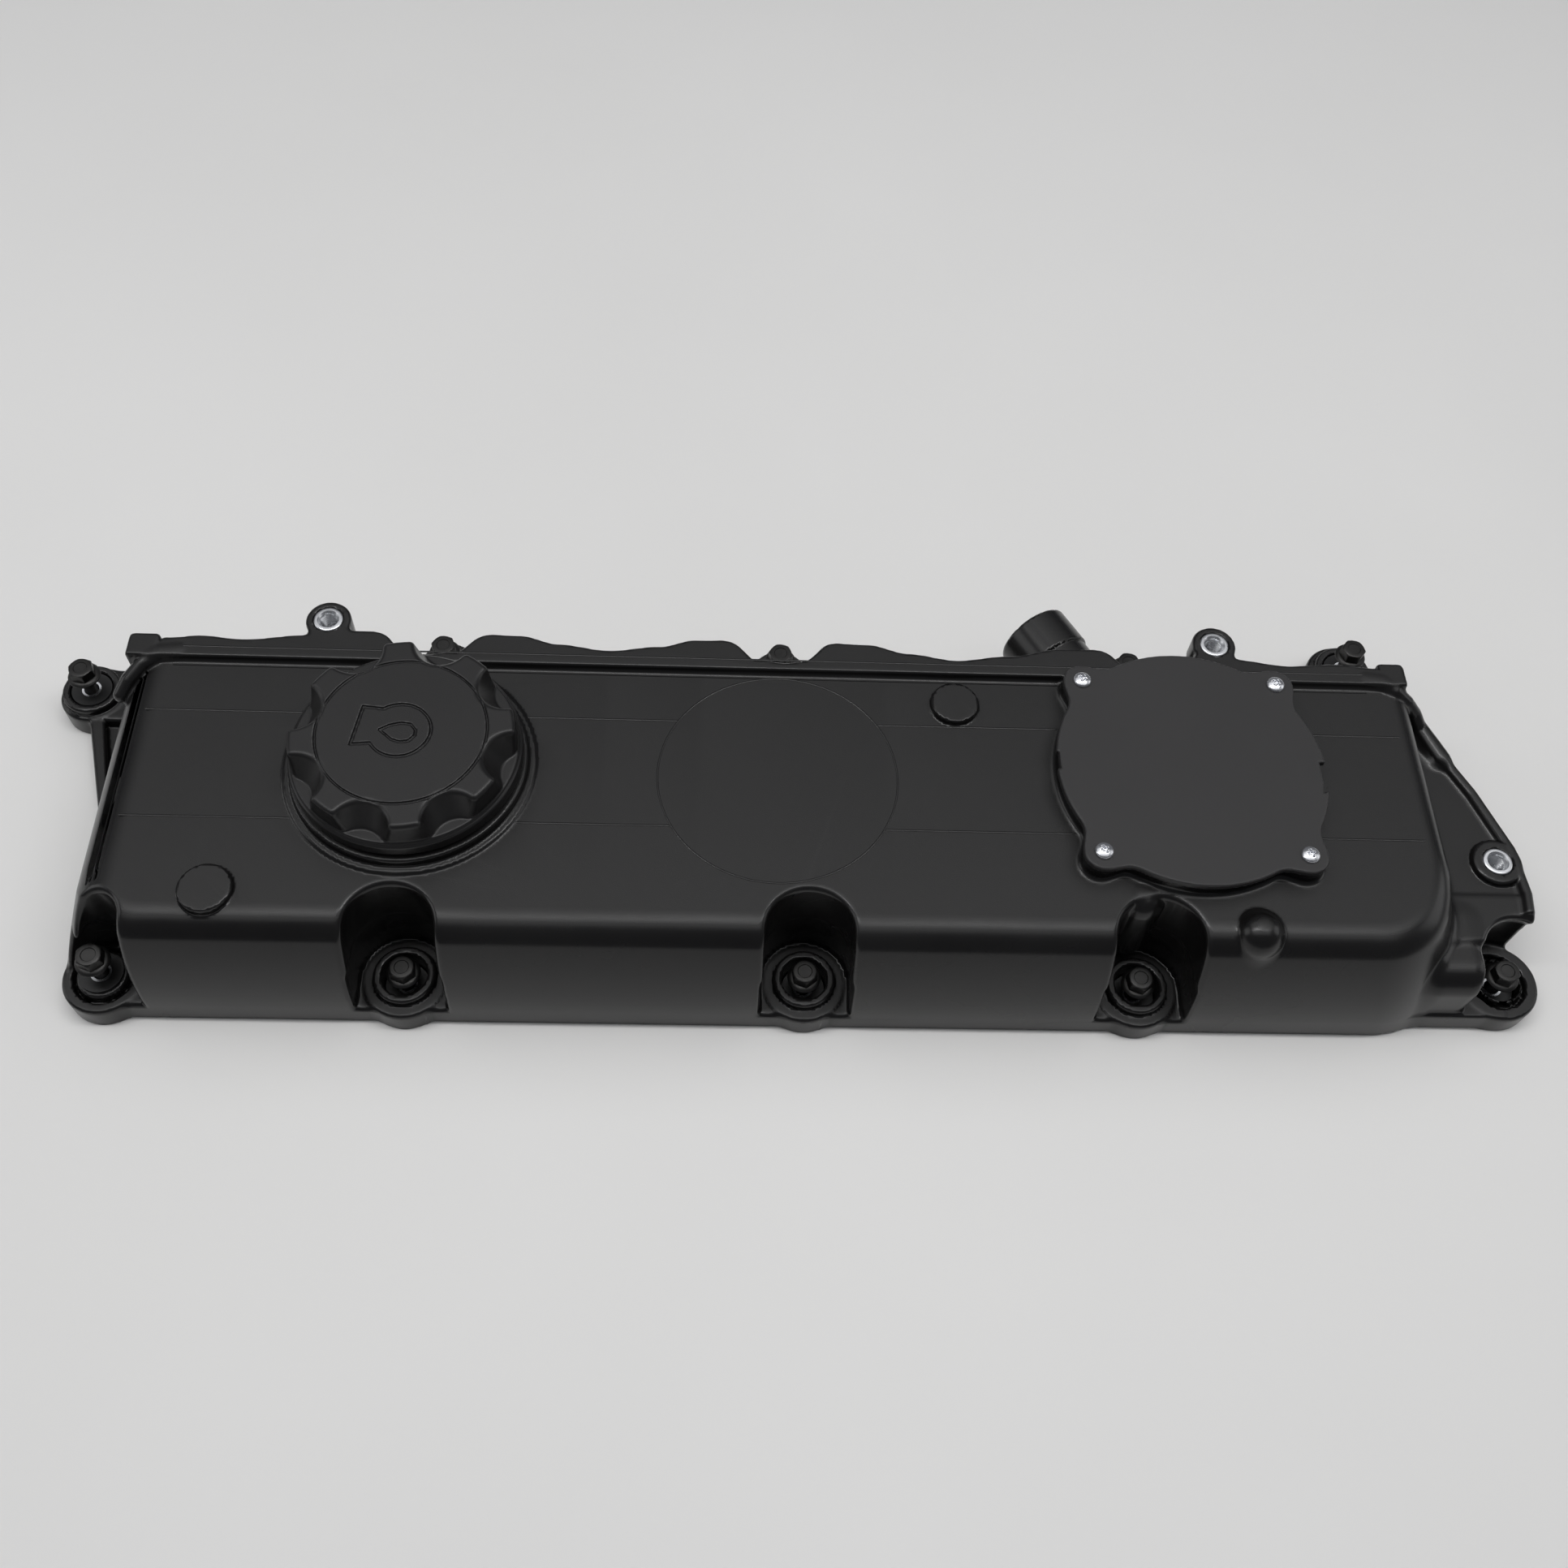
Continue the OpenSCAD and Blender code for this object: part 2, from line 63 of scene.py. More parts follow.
FRONT_BOLTS = [f"bolt_front_{i}" for i in range(1, 6)]
REAR_BOLTS = [f"bolt_rear_{i}" for i in range(1, 6)]
BOLTS = FRONT_BOLTS + REAR_BOLTS
INSERTS = ["insert_rear_left", "insert_rear_right", "insert_bracket"]
PLACE = {name: middle(name)[:2] for name in BOLTS + INSERTS}
LONG_BOLT_TOP = 28.0
IS_LONG = {name: top_of(name) > LONG_BOLT_TOP for name in BOLTS}

SHELL_LOW, SHELL_HIGH = corners("cover_shell")
NECK = middle("cap_seal")[:2]
VENT = middle("pressure_plate")[:2]
REAR_DECK = top_of("insert_rear_left")
DECK_STEP = 3.5
DECK = REAR_DECK - DECK_STEP
NECK_TOP = corners("cap_seal")[0][2]
VENT_RIM = corners("vent_cover")[0][2]
VENT_TOP = top_of("vent_cover")
BAFFLE_LOW, BAFFLE_HIGH = corners("separator_baffle")

WALL = 3.0
EDGE = 8.0
LEFT_EDGE = 14.0
PLATE = 12.0
COLLAR_TOP = 16.0
REAR_FOOT_HALF = 15
POCKET = 18.0
CORNER_POCKET = 13.0
ARCH_RADIUS = 10.5
ARCH_FOOT = 36.0
ARCH_SHIFT = (8.0, 4.0)
BUSH_DEPTH = 14.0
BOLT_BORE = 6.5
SEAT_RADIUS = 9.5
NECK_RADIUS = 49.0
NECK_INSIDE = 33.0
NECK_BORE = 30.0
VENT_SCREW = 42.5
HOUSING_RADIUS = 56.0
CHAMBER_RADIUS = 48.5
CHAMBER_FLOOR = 50.0
VALVE_BORE = 10.0
LID_SEAT_RADIUS = 52.0
BOSS = {name: 15.0 for name in BOLTS}
BOSS.update(bolt_front_1=17.0, bolt_rear_5=16.0)
BOSS.update({name: 18.0 for name in FRONT_BOLTS[1:]})


# ---------------------------------------------------------------- solids as distance fields

FAR = 1e9


def blend(a, b, r):
    """Union of two solids with a fillet of radius r."""
    if r <= 0:
        return np.minimum(a, b)
    return np.maximum(r, np.minimum(a, b)) - np.hypot(np.maximum(r - a, 0), np.maximum(r - b, 0))


def common(a, b, r):
    """Intersection of two solids with its edge rounded to radius r."""
    if r <= 0:
        return np.maximum(a, b)
    return np.minimum(-r, np.maximum(a, b)) + np.hypot(np.maximum(r + a, 0), np.maximum(r + b, 0))


def disc(x, y, centre, r):
    return np.hypot(x - centre[0], y - centre[1]) - r


def post(centre, r, foot, top, edge=0.8):
    """Upright round post with a rounded top edge."""
    def shape(x, y, z):
        return np.maximum(common(disc(x, y, centre, r), z - top, edge), foot - z)
    return shape


def block(low, high, edge=0.0):
    """Upright block with all its edges rounded."""
    low, high = np.array(low, float), np.array(high, float)
    middle_point, half = (low + high) / 2, (high - low) / 2 - edge

    def shape(x, y, z):
        q = [np.abs(v - m) - h for v, m, h in zip((x, y, z), middle_point, half)]
        outside = np.sqrt(sum(np.maximum(v, 0) ** 2 for v in q))
        return outside + np.minimum(np.maximum(np.maximum(q[0], q[1]), q[2]), 0) - edge
    return shape


def rod(points, r):
    """Round bar through a list of points."""
    points = [np.array(p, float) for p in points]

    def shape(x, y, z):
        nearest = np.full(x.shape, FAR)
        for a, b in zip(points, points[1:]):
            along = b - a
            t = ((x - a[0]) * along[0] + (y - a[1]) * along[1] + (z - a[2]) * along[2]) / (along @ along)
            t = np.clip(t, 0, 1)
            gap = (x - a[0] - t * along[0]) ** 2 + (y - a[1] - t * along[1]) ** 2
            nearest = np.minimum(nearest, gap + (z - a[2] - t * along[2]) ** 2)
        return np.sqrt(nearest) - r
    return shape


def outline(x, y, points):
    """Signed distance to a closed polygon in plan, negative inside."""
    points = np.array(points, float)
    nearest = np.full(x.shape, FAR ** 2)
    inside = np.zeros(x.shape, bool)
    for a, b in zip(points, np.roll(points, -1, axis=0)):
        along = b - a
        px, py = x - a[0], y - a[1]
        t = np.clip((px * along[0] + py * along[1]) / (along @ along), 0, 1)
        nearest = np.minimum(nearest, (px - t * along[0]) ** 2 + (py - t * along[1]) ** 2)
        crosses = (a[1] > y) != (b[1] > y)
        rise = along[1] if along[1] else 1e-9
        inside ^= crosses & (px < along[0] * py / rise)
    return np.where(inside, -1, 1) * np.sqrt(nearest)


def prism(points, foot, top, edge=1.0):
    """Upright prism on a polygon, with its corners and top edge rounded."""
    def shape(x, y, z):
        side = outline(x, y, points)
        return common(common(side, z - top, edge), foot - z, min(edge, 1.0))
    return shape


class Clay:
    """A solid at sample points: d holds each point's distance to its surface."""

    def __init__(self, x, y, z, start):
        self.x, self.y, self.z, self.d = x, y, z, start

    def change(self, low, high, shape, r, join):
        pad = 6 + r
        x, y, z = self.x, self.y, self.z
        near = (x > low[0] - pad) & (x < high[0] + pad) & (y > low[1] - pad) & (y < high[1] + pad)
        near &= (z > low[2] - pad) & (z < high[2] + pad)
        pick = np.flatnonzero(near)
        if len(pick):
            self.d[pick] = join(self.d[pick], shape(x[pick], y[pick], z[pick]), r)

    def add(self, low, high, shape, r=0.0):
        self.change(low, high, shape, r, blend)

    def cut(self, low, high, shape, r=0.0):
        self.change(low, high, shape, r, lambda a, b, k: common(a, -b, k))

    def add_post(self, centre, r, foot, top, edge=0.8, fillet=0.0):
        low, high = (centre[0] - r, centre[1] - r, foot), (centre[0] + r, centre[1] + r, top)
        self.add(low, high, post(centre, r, foot, top, edge), fillet)

    def cut_post(self, centre, r, foot, top, edge=0.0):
        low, high = (centre[0] - r, centre[1] - r, foot), (centre[0] + r, centre[1] + r, top)
        self.cut(low, high, post(centre, r, foot, top, 0), edge)


# ---------------------------------------------------------------- the moulded cover

# Leaning walls as (place at the sealing plane, place where the top edge starts). The front one bulges.
TOP_START = 53.5
LEFT, RIGHT = (-301.0, -282.0), (294.0, 281.0)
REAR = (64.0, 53.0)
FRONT_FOOT = -98.5
FRONT_BULGE = 100.0
FRONT_UPRIGHT = 12.0
CORNER_RADII = {"front_left": 26.0, "front_right": 36.0, "rear": 14.0}
RAIL_FRONT = 41.0
REAR_POCKET_Y = 64.0
STRIP_REAR = 46.5
PLATE_SLANT = 0.85
PLATE_REAR = 57.0
PLATES = [
    [(-266, 51), (-252, 52.5), (-234, 51), (-207, 54), (-188, 57), (-174, 57)],
    [(-132, 57), (-115, 56.6), (-98, 52.5), (-76, 49.7), (-54, 52.5), (-38, 56.6), (-21.5, 57)],
    [(19.5, 57), (38, 56.4), (56, 52), (77, 49), (100, 52), (124, 56.6), (144, 57)],
    [(186, 56), (201, 53.5), (226, 50.5), (247, 52), (264, 50.5)],
]
CORNER_BLOCKS = ((-282.5, -269), (266, 278.5))
BRACKET = [(268, 46), (288, 46), (291, 39), (309.5, 1), (320, -28), (321.8, -50), (320, -64), (314, -72),
           (268, -72)]
BRACKET_END = [(286, -50), (321.5, -50), (320.5, -63), (316, -72), (286, -72)]
BRACKET_TOP = 40.0
RIB_WIDTH = 4.5
RIB_RISE = 3.0
SKIRT_DEPTH = 14.0
LEDGE = [(-317, 50), (-299, -10), (-285, -10), (-285, 71), (-316, 71)]
OUTLET_AXIS_Z = 38.0
OUTLET_TURN = math.radians(30)
OUTLET_LENGTH = 107.0
OUTLET_STUB = 19.0
OUTLET_RADIUS = 17.0
ROOF_RIBS = (-235, -75, -35, 45, 75)
DECK_PADS = (((-228, -70.5), 10.8), ((75, 26.5), 10.4))
DOMES = (((193, -80), DECK - 4, 10), ((148, -63.5), 53.5, 8.6))
CORNER_BOLTS = ("bolt_front_1", "bolt_front_5")


def wall_distance(place, at, z, sign):
    """Distance outside one leaning wall, whose foot and top places are given."""
    foot, top = at
    lean = math.atan2(abs(foot - top), TOP_START)
    return (sign * (place - foot)) * math.cos(lean) + z * math.sin(lean)


def walls(x, y, z):
    """Distance outside the four walls."""
    left = wall_distance(x, LEFT, z, -1)
    right = wall_distance(x, RIGHT, z, 1)
    rise = np.maximum(z - FRONT_UPRIGHT, 0)
    front = np.hypot(np.minimum(y - FRONT_FOOT - FRONT_BULGE, 0), rise) - FRONT_BULGE
    return with_round_corners(left, right, front, wall_distance(y, REAR, z, 1))


def foot_plan(x, y):
    """Distance outside the foot's outline."""
    return with_round_corners(LEFT[0] - x, x - RIGHT[0], FRONT_FOOT - y, y - REAR[0])


def with_round_corners(left, right, front, rear):
    """The space inside four walls, with its upright corners rounded."""
    d = common(left, front, CORNER_RADII["front_left"])
    d = np.maximum(d, common(right, front, CORNER_RADII["front_right"]))
    d = np.maximum(d, common(right, rear, CORNER_RADII["rear"]))
    return np.maximum(d, common(left, rear, CORNER_RADII["rear"]))


def pocket_plan(x, y, arch=False):
    """Distance outside the bolt pockets, round inside and open outwards, at their feet or at their arches."""
    d = np.full(x.shape, FAR)
    for name in FRONT_BOLTS:
        r = POCKET
        cx, cy = PLACE[name]
        if name == "bolt_front_1":
            r = ARCH_RADIUS if arch else CORNER_POCKET
            if arch:
                cx, cy = cx + ARCH_SHIFT[0], cy + ARCH_SHIFT[1]
        if name == "bolt_front_5" and arch:
            r = POCKET - 1.5
        d = np.minimum(d, np.hypot(x - cx, np.maximum(y - cy, 0)) - r)
    for name in REAR_BOLTS[1:4]:
        d = np.minimum(d, np.hypot(x - PLACE[name][0], np.minimum(y - REAR_POCKET_Y, 0)) - POCKET)
    return d


def wavy_edge(x, points):
    """Smooth curve through a plate's edge points."""
    xs, ys = zip(*points)
    span = np.clip(np.searchsorted(xs, x) - 1, 0, len(xs) - 2)
    xs, ys = np.array(xs, float), np.array(ys, float)
    t = np.clip((x - xs[span]) / (xs[span + 1] - xs[span]), 0, 1)
    return ys[span] + (ys[span + 1] - ys[span]) * t * t * (3 - 2 * t)


def rear_block(x, y, z):
    """Raised deck behind the rail, with wavy plates, corner blocks and the ears of two bushes."""
    plan = common(y - STRIP_REAR, np.abs(x) - 268, 2)
    inward = PLATE_SLANT * (PLATE_REAR - y)
    steep = math.hypot(1, PLATE_SLANT)
    for points in PLATES:
        ends = np.maximum(points[0][0] - inward - x, x - points[-1][0] - inward) / steep
        plan = blend(plan, common(y - wavy_edge(x, points), ends, 4), 1.2)
    plan = common(plan, np.abs(x) - 270, 3)
    for low, high in CORNER_BLOCKS:
        plan = np.minimum(plan, common(common(low - x, x - high, 0), y - 53, 2.5))
    for name in INSERTS[:2]:
        plan = blend(plan, disc(x, y, PLACE[name], 9.8), 4)
    plan = common(plan, RAIL_FRONT - y, 1)
    return np.maximum(common(plan, z - REAR_DECK, 1.4), 53 - z)


def bracket(x, y, z):
    """Bracket at the right end: a level plate with a raised outer rib and a skirt below it."""
    side = outline(x, y, BRACKET)
    plate = common(common(side, z - BRACKET_TOP, 1.5), BRACKET_TOP - 6 - z, 1)
    rib = common(common(side, -side - RIB_WIDTH, 2), z - BRACKET_TOP - RIB_RISE, 2)
    rib = np.maximum(rib, BRACKET_TOP + RIB_RISE - SKIRT_DEPTH - z)
    rib = common(rib, np.maximum(284 - x, -60 - y), 1.5)
    return blend(plate, rib, 2.5)


def outlet(radius, start, end):
    """Round bar along the breather outlet's axis."""
    along = np.array([-math.sin(OUTLET_TURN), math.cos(OUTLET_TURN)])

    def shape(x, y, z):
        px, py = x - VENT[0], y - VENT[1]
        s = px * along[0] + py * along[1]
        side = px * along[1] - py * along[0]
        round_part = np.hypot(side, z - OUTLET_AXIS_Z) - radius
        return common(round_part, np.maximum(start - s, s - end), 0.8)
    return shape


def vent_plan(x, y, radius, corner, fillet):
    """Plan of the breather valve: a disc with four screw corners."""
    px, py = np.abs(x - VENT[0]), np.abs(y - VENT[1])
    return blend(np.hypot(px, py) - radius, np.hypot(px - VENT_SCREW, py - VENT_SCREW) - corner, fillet)


def housing(x, y, z):
    """Wall of the breather valve, up to its flat cover."""
    return np.maximum(common(vent_plan(x, y, HOUSING_RADIUS, 7.5, 8), z - VENT_RIM, 0.8), DECK - 8 - z)


def valve_chamber(x, y, z):
    """Ring-shaped space round the breather valve's seat."""
    ring = np.maximum(disc(x, y, VENT, CHAMBER_RADIUS), -disc(x, y, VENT, VALVE_BORE + WALL))
    return np.maximum(ring, CHAMBER_FLOOR - z)


def separator(x, y, z):
    """Wall between the oil separator's plate and the roof."""
    low, high = BAFFLE_LOW[:2], BAFFLE_HIGH[:2]
    px, py = np.abs(x - (low[0] + high[0]) / 2), np.abs(y - (low[1] + high[1]) / 2)
    side = np.maximum(px - (high[0] - low[0]) / 2, py - (high[1] - low[1]) / 2)
    return np.maximum(np.maximum(side, -side - WALL), np.maximum(BAFFLE_HIGH[2] - z, z - DECK + 1))


def outer_form(x, y, z):
    """The cover's outside without its bosses, before the bolt pockets are cut."""
    body = common(walls(x, y, z), z - DECK, EDGE)
    clay = Clay(x, y, z, np.maximum(body, common(wall_distance(x, LEFT, z, -1), z - DECK, LEFT_EDGE)))
    clay.add((-290, 36, 50), (290, 74, 66), rear_block, 2.2)
    left_bead = [(-260, 44.8, 61.9), (-268, 43.8, 61.9), (-275.5, 39.5, 60.4), (-281, 33, 57.2),
                 (-284, 28, 53.6)]
    clay.add((-290, 22, 48), (-256, 50, 66), rod(left_bead, 3.6), 1.5)
    right_bead = [(260, 44.8, 61.9), (267, 44, 61.9), (273.5, 40.5, 61), (280, 38.5, 56), (285.5, 36.5, 50),
                  (289.5, 33, 44), (297, 19, 40)]
    clay.add((256, 14, 36), (302, 50, 66), rod(right_bead, 3.5), 1.5)
    clay.add((266, -76, 24), (324, 48, 44), bracket, 5)
    clay.add((284, -74, 4), (322, -50, 40), prism(BRACKET_END, 4, BRACKET_TOP, 2), 2)
    clay.add((266, -93, 0), (302, -56, 40), block((266, -92.8, -14), (301, -50, BRACKET_TOP), 12), 4)
    return clay.d


def bosses(clay):
    """Bosses of the ten bolts, with the ledge at the left end and the foot of the right-hand corner."""
    for name in BOLTS:
        clay.add_post(PLACE[name], BOSS[name], 0, PLATE, 1.6, 1.5)
    for name in REAR_BOLTS[1:]:
        cx, cy = PLACE[name]
        low, high = (cx - REAR_FOOT_HALF, 50, 0), (cx + REAR_FOOT_HALF, cy, PLATE)
        clay.add(low, high, block(low, high, 1), 1.5)
    low, high = (-318, -10, 0), (-285, 71, PLATE)
    clay.add(low, high, prism(LEDGE, 0, PLATE, 2), 1.5)
    valley = [(-307.5, 42), (-296, -2), (-291, -2), (-299, 42)]
    clay.cut((-308, -2, 7), (-290, 42, PLATE + 2), prism(valley, 7, PLATE + 6, 1), 2)
    cx, cy = PLACE["bolt_front_5"]
    clay.add((264, cy - 18, 0), (cx, cy + 18, PLATE), block((264, cy - 17, 0), (cx, cy + 17, PLATE), 1), 1.5)


def seat_groove(name):
    """Ring-shaped groove round the seat of a corner bolt."""
    def shape(x, y, z):
        r = np.hypot(x - PLACE[name][0], y - PLACE[name][1])
        return np.maximum(np.abs(r - 11.6) - 0.9, PLATE - 3 - z)
    return shape


def bores(clay):
    """Stepped bores of the bolts and the holes of the three bushes."""
    for name in CORNER_BOLTS:
        cx, cy = PLACE[name]
        clay.cut((cx - 13, cy - 13, PLATE - 3), (cx + 13, cy + 13, 20), seat_groove(name), 0.5)
    for name in BOLTS:
        seat = 15.5 if IS_LONG[name] else 6.5
        clay.cut_post(PLACE[name], BOLT_BORE, -1, COLLAR_TOP + 2)
        clay.cut_post(PLACE[name], SEAT_RADIUS, seat - 1.5, COLLAR_TOP + 6, 0.8)
    for name in INSERTS:
        clay.cut_post(PLACE[name], BOLT_BORE, top_of(name) - BUSH_DEPTH, top_of(name) + 2)


def gasket_groove(x, y, z):
    """Groove under the cover's edge, which goes round the front pockets."""
    pockets, foot = pocket_plan(x, y), foot_plan(x, y)
    ring = np.maximum(foot + 3, -(pockets + 3))
    return np.maximum(np.maximum(ring, -np.maximum(foot + 7, -(pockets - 1))), z - 5)


def shell(x, y, z):
    """The whole moulded cover."""
    pockets = pocket_plan(x, y)
    low_pockets = common(common(pockets, PLATE - z, 2), z - ARCH_FOOT, 3)
    high_pockets = np.maximum(pocket_plan(x, y, arch=True), PLATE - z)
    outside = common(outer_form(x, y, z), -blend(low_pockets, high_pockets, 3), 2.5)
    clay = Clay(x, y, z, np.maximum(outside, 1 - z))
    hollow = common(walls(x, y, z) + WALL, z - DECK + WALL, EDGE - WALL)
    hollow = common(hollow, -(np.minimum(pockets, pocket_plan(x, y, arch=True)) - WALL), 2)
    hollow = np.maximum(hollow, foot_plan(x, y) + 9)
    clay.d = common(clay.d, -hollow, 1)
    bosses(clay)
    for name in BOLTS:
        top = PLATE + 1.5 if name in CORNER_BOLTS else COLLAR_TOP
        clay.add_post(PLACE[name], 10.6 if name in CORNER_BOLTS else 13, 0, top, 1.2, 0.4)
    for centre, r in DECK_PADS:
        clay.add_post(centre, r, DECK - 2, DECK + 3, 0.9, 0.6)
    for centre, top, r in DOMES:
        low, high = (centre[0] - r, centre[1] - r, 20), (centre[0] + r, centre[1] + r, top + r)
        clay.add(low, high, rod([(*centre, 24), (*centre, top)], r), 1.5)
    for x_rib in ROOF_RIBS:
        low, high = (x_rib - WALL / 2, -70, DECK - 14), (x_rib + WALL / 2, 42, DECK - 1)
        clay.add(low, high, block(low, high, 0.6), 1)
    clay.add_post(PLACE["insert_bracket"], 11, 30, top_of("insert_bracket") - 0.1, 1.6, 0.8)
    clay.add_post(NECK, 52, DECK - 2, DECK + 1.2, 1, 1.2)
    clay.add_post(NECK, NECK_RADIUS, DECK - 2, NECK_TOP, 1.2, 1)
    clay.add_post(NECK, NECK_INSIDE, DECK - 20, DECK, 0)
    clay.add((105, -75, 48), (240, 60, VENT_RIM), housing, 2.5)
    clay.add_post(VENT, 51.5, 47, VENT_RIM - 2, 0)
    low, high = (BAFFLE_LOW[0], BAFFLE_LOW[1], 20), (BAFFLE_HIGH[0], BAFFLE_HIGH[1], DECK)
    clay.add(low, high, separator, 0.5)
    for sx in (BAFFLE_LOW[0] + 12, BAFFLE_HIGH[0] - 12):
        for sy in (BAFFLE_LOW[1] + 12, BAFFLE_HIGH[1] - 12):
            clay.add_post((sx, sy), 5, 20, DECK - 1, 0)
    clay.add((95, -20, 20), (200, 95, 56), outlet(OUTLET_RADIUS - 1, -15, OUTLET_LENGTH - 2), 1.5)
    stub = outlet(OUTLET_RADIUS, OUTLET_LENGTH - OUTLET_STUB, OUTLET_LENGTH)
    clay.add((95, 60, 20), (150, 100, 56), stub, 0.5)
    bores(clay)
    clay.cut(SHELL_LOW, SHELL_HIGH, gasket_groove)
    clay.cut_post(NECK, NECK_BORE, 0, 100, 1)
    clay.cut((120, -62, CHAMBER_FLOOR), (225, 46, 80), valve_chamber, 0.5)
    clay.cut_post(VENT, CHAMBER_RADIUS, 60, 80)
    clay.cut_post(VENT, LID_SEAT_RADIUS, VENT_RIM - 1.2, 80)
    clay.cut_post(VENT, VALVE_BORE, OUTLET_AXIS_Z, 80)
    clay.cut((90, -30, 20), (200, 100, 56), outlet(OUTLET_RADIUS - 3.5, -8, OUTLET_LENGTH + 3), 0.8)
    return clay.d


# ---------------------------------------------------------------- meshes from distance fields

EDGE_STEPS = [(a, b) for a in range(8) for b in range(8) if a < b and bin(a ^ b).count("1") == 1]
CORNER_STEPS = np.array([[(c >> axis) & 1 for axis in range(3)] for c in range(8)])
TETRA = np.array([[1, -1, -1], [-1, -1, 1], [-1, 1, -1], [1, 1, 1]], float)


def sampled(field, axes, cell, side=4):
    """The field on a grid: coarse blocks first, then every point of the blocks near the surface."""
    counts = [len(a) for a in axes]
    blocks = [-(-n // side) for n in counts]
    centres = [a[0] + cell * (side * np.arange(b) + (side - 1) / 2) for a, b in zip(axes, blocks)]
    grid = np.meshgrid(*centres, indexing="ij")
    coarse = field(*[g.ravel() for g in grid]).reshape(blocks)
    values = coarse
    for axis in range(3):
        values = np.repeat(values, side, axis=axis)
    values = values[:counts[0], :counts[1], :counts[2]].astype(np.float32)
    reach = side * cell * math.sqrt(3) / 2 + 1.5 * cell
    picked = np.nonzero(np.abs(values) < reach)
    values[picked] = field(*[a[i] for a, i in zip(axes, picked)])
    return values


def net(field, low, high, cell):
    """Points and quads of a field's surface: one point in each grid cell that the surface crosses."""
    axes = [np.arange(low[i] - 2 * cell, high[i] + 3 * cell, cell) for i in range(3)]
    values = sampled(field, axes, cell)
    inside = values < 0
    shape = np.array(values.shape) - 1
    count = sum(inside[c[0]:c[0] + shape[0], c[1]:c[1] + shape[1], c[2]:c[2] + shape[2]].astype(np.int8)
                for c in CORNER_STEPS)
    cells = np.argwhere((count > 0) & (count < 8))
    corner_values = [values[tuple((cells + c).T)] for c in CORNER_STEPS]
    total, hits = np.zeros((len(cells), 3)), np.zeros(len(cells))
    for a, b in EDGE_STEPS:
        va, vb = corner_values[a], corner_values[b]
        crossed = (va < 0) != (vb < 0)
        t = np.where(crossed, va / np.where(crossed, va - vb, 1), 0)[:, None]
        total += crossed[:, None] * (CORNER_STEPS[a] + t * (CORNER_STEPS[b] - CORNER_STEPS[a]))
        hits += crossed
    points = np.array([a[0] for a in axes]) + cell * (cells + total / hits[:, None])
    index = np.full(shape, -1)
    index[tuple(cells.T)] = np.arange(len(cells))
    quads = []
    for axis in range(3):
        u, v = (axis + 1) % 3, (axis + 2) % 3
        first = np.moveaxis(inside, (axis, u, v), (0, 1, 2))
        ids = np.moveaxis(index, (axis, u, v), (0, 1, 2))
        leaving = first[:-1, 1:-1, 1:-1] & ~first[1:, 1:-1, 1:-1]
        entering = ~first[:-1, 1:-1, 1:-1] & first[1:, 1:-1, 1:-1]
        for found, order in ((leaving, (0, 1, 2, 3)), (entering, (3, 2, 1, 0))):
            i, j, k = np.nonzero(found)
            ring = [ids[i, j, k], ids[i, j + 1, k], ids[i, j + 1, k + 1], ids[i, j, k + 1]]
            quads.append(np.stack([ring[o] for o in order], axis=1))
    return points, np.concatenate(quads)


def gradient(field, points, step=0.2):
    slopes = [field(*(points + step * t).T)[:, None] * t for t in TETRA]
    return sum(slopes) / (4 * step)


def settle(field, points, rounds, reach):
    """Moves points onto the field's surface."""
    for _ in range(rounds):
        g = gradient(field, points)
        d = np.clip(field(*points.T), -reach, reach)
        points = points - g * (d / np.maximum((g * g).sum(axis=1), 0.05))[:, None]
    return points


def make_mesh(name, points, faces):
    mesh = bpy.data.meshes.new(name)
    mesh.from_pydata((np.asarray(points) * MM).tolist(), [], [list(map(int, f)) for f in faces])
    mesh.validate()
    mesh.shade_smooth()
    mesh.set_sharp_from_angle(angle=math.radians(38))
    return mesh


def apply_modifiers(obj):
    graph = bpy.context.evaluated_depsgraph_get()
    done = bpy.data.meshes.new_from_object(obj.evaluated_get(graph))
    obj.modifiers.clear()
    obj.data = done


def place(obj, body, slot_name, *materials):
    """Puts a finished object in the scene, on its body, with its material; slot_name is not used."""
    if obj.name not in bpy.context.scene.collection.objects:
        bpy.context.scene.collection.objects.link(obj)
    for m in materials:
        obj.data.materials.append(m)
    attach(obj, body)
    return obj


def carved(name, field, low, high, cell, limit):
    """An object whose surface is a field's, thinned to a limit of triangles, with smooth shading."""
    points, quads = net(field, low, high, cell)
    points = settle(field, points, 2, cell)
    obj = bpy.data.objects.new(name, make_mesh(name, points, quads))
    bpy.context.scene.collection.objects.link(obj)
    if 2 * len(quads) > limit:
        thin = obj.modifiers.new("thin", "DECIMATE")
        thin.ratio = limit / (2 * len(quads))
        apply_modifiers(obj)
    mesh = obj.data
    flat = np.empty(3 * len(mesh.vertices))
    mesh.vertices.foreach_get("co", flat)
    points = settle(field, flat.reshape(-1, 3) / MM, 2, cell / 2)
    mesh.vertices.foreach_set("co", (points * MM).ravel())
    mesh.update()
    g = gradient(field, points)
    g /= np.maximum(np.linalg.norm(g, axis=1), 1e-6)[:, None]
    mesh.shade_smooth()
    mesh.normals_split_custom_set_from_vertices(g.tolist())
    return obj


# ---------------------------------------------------------------- materials

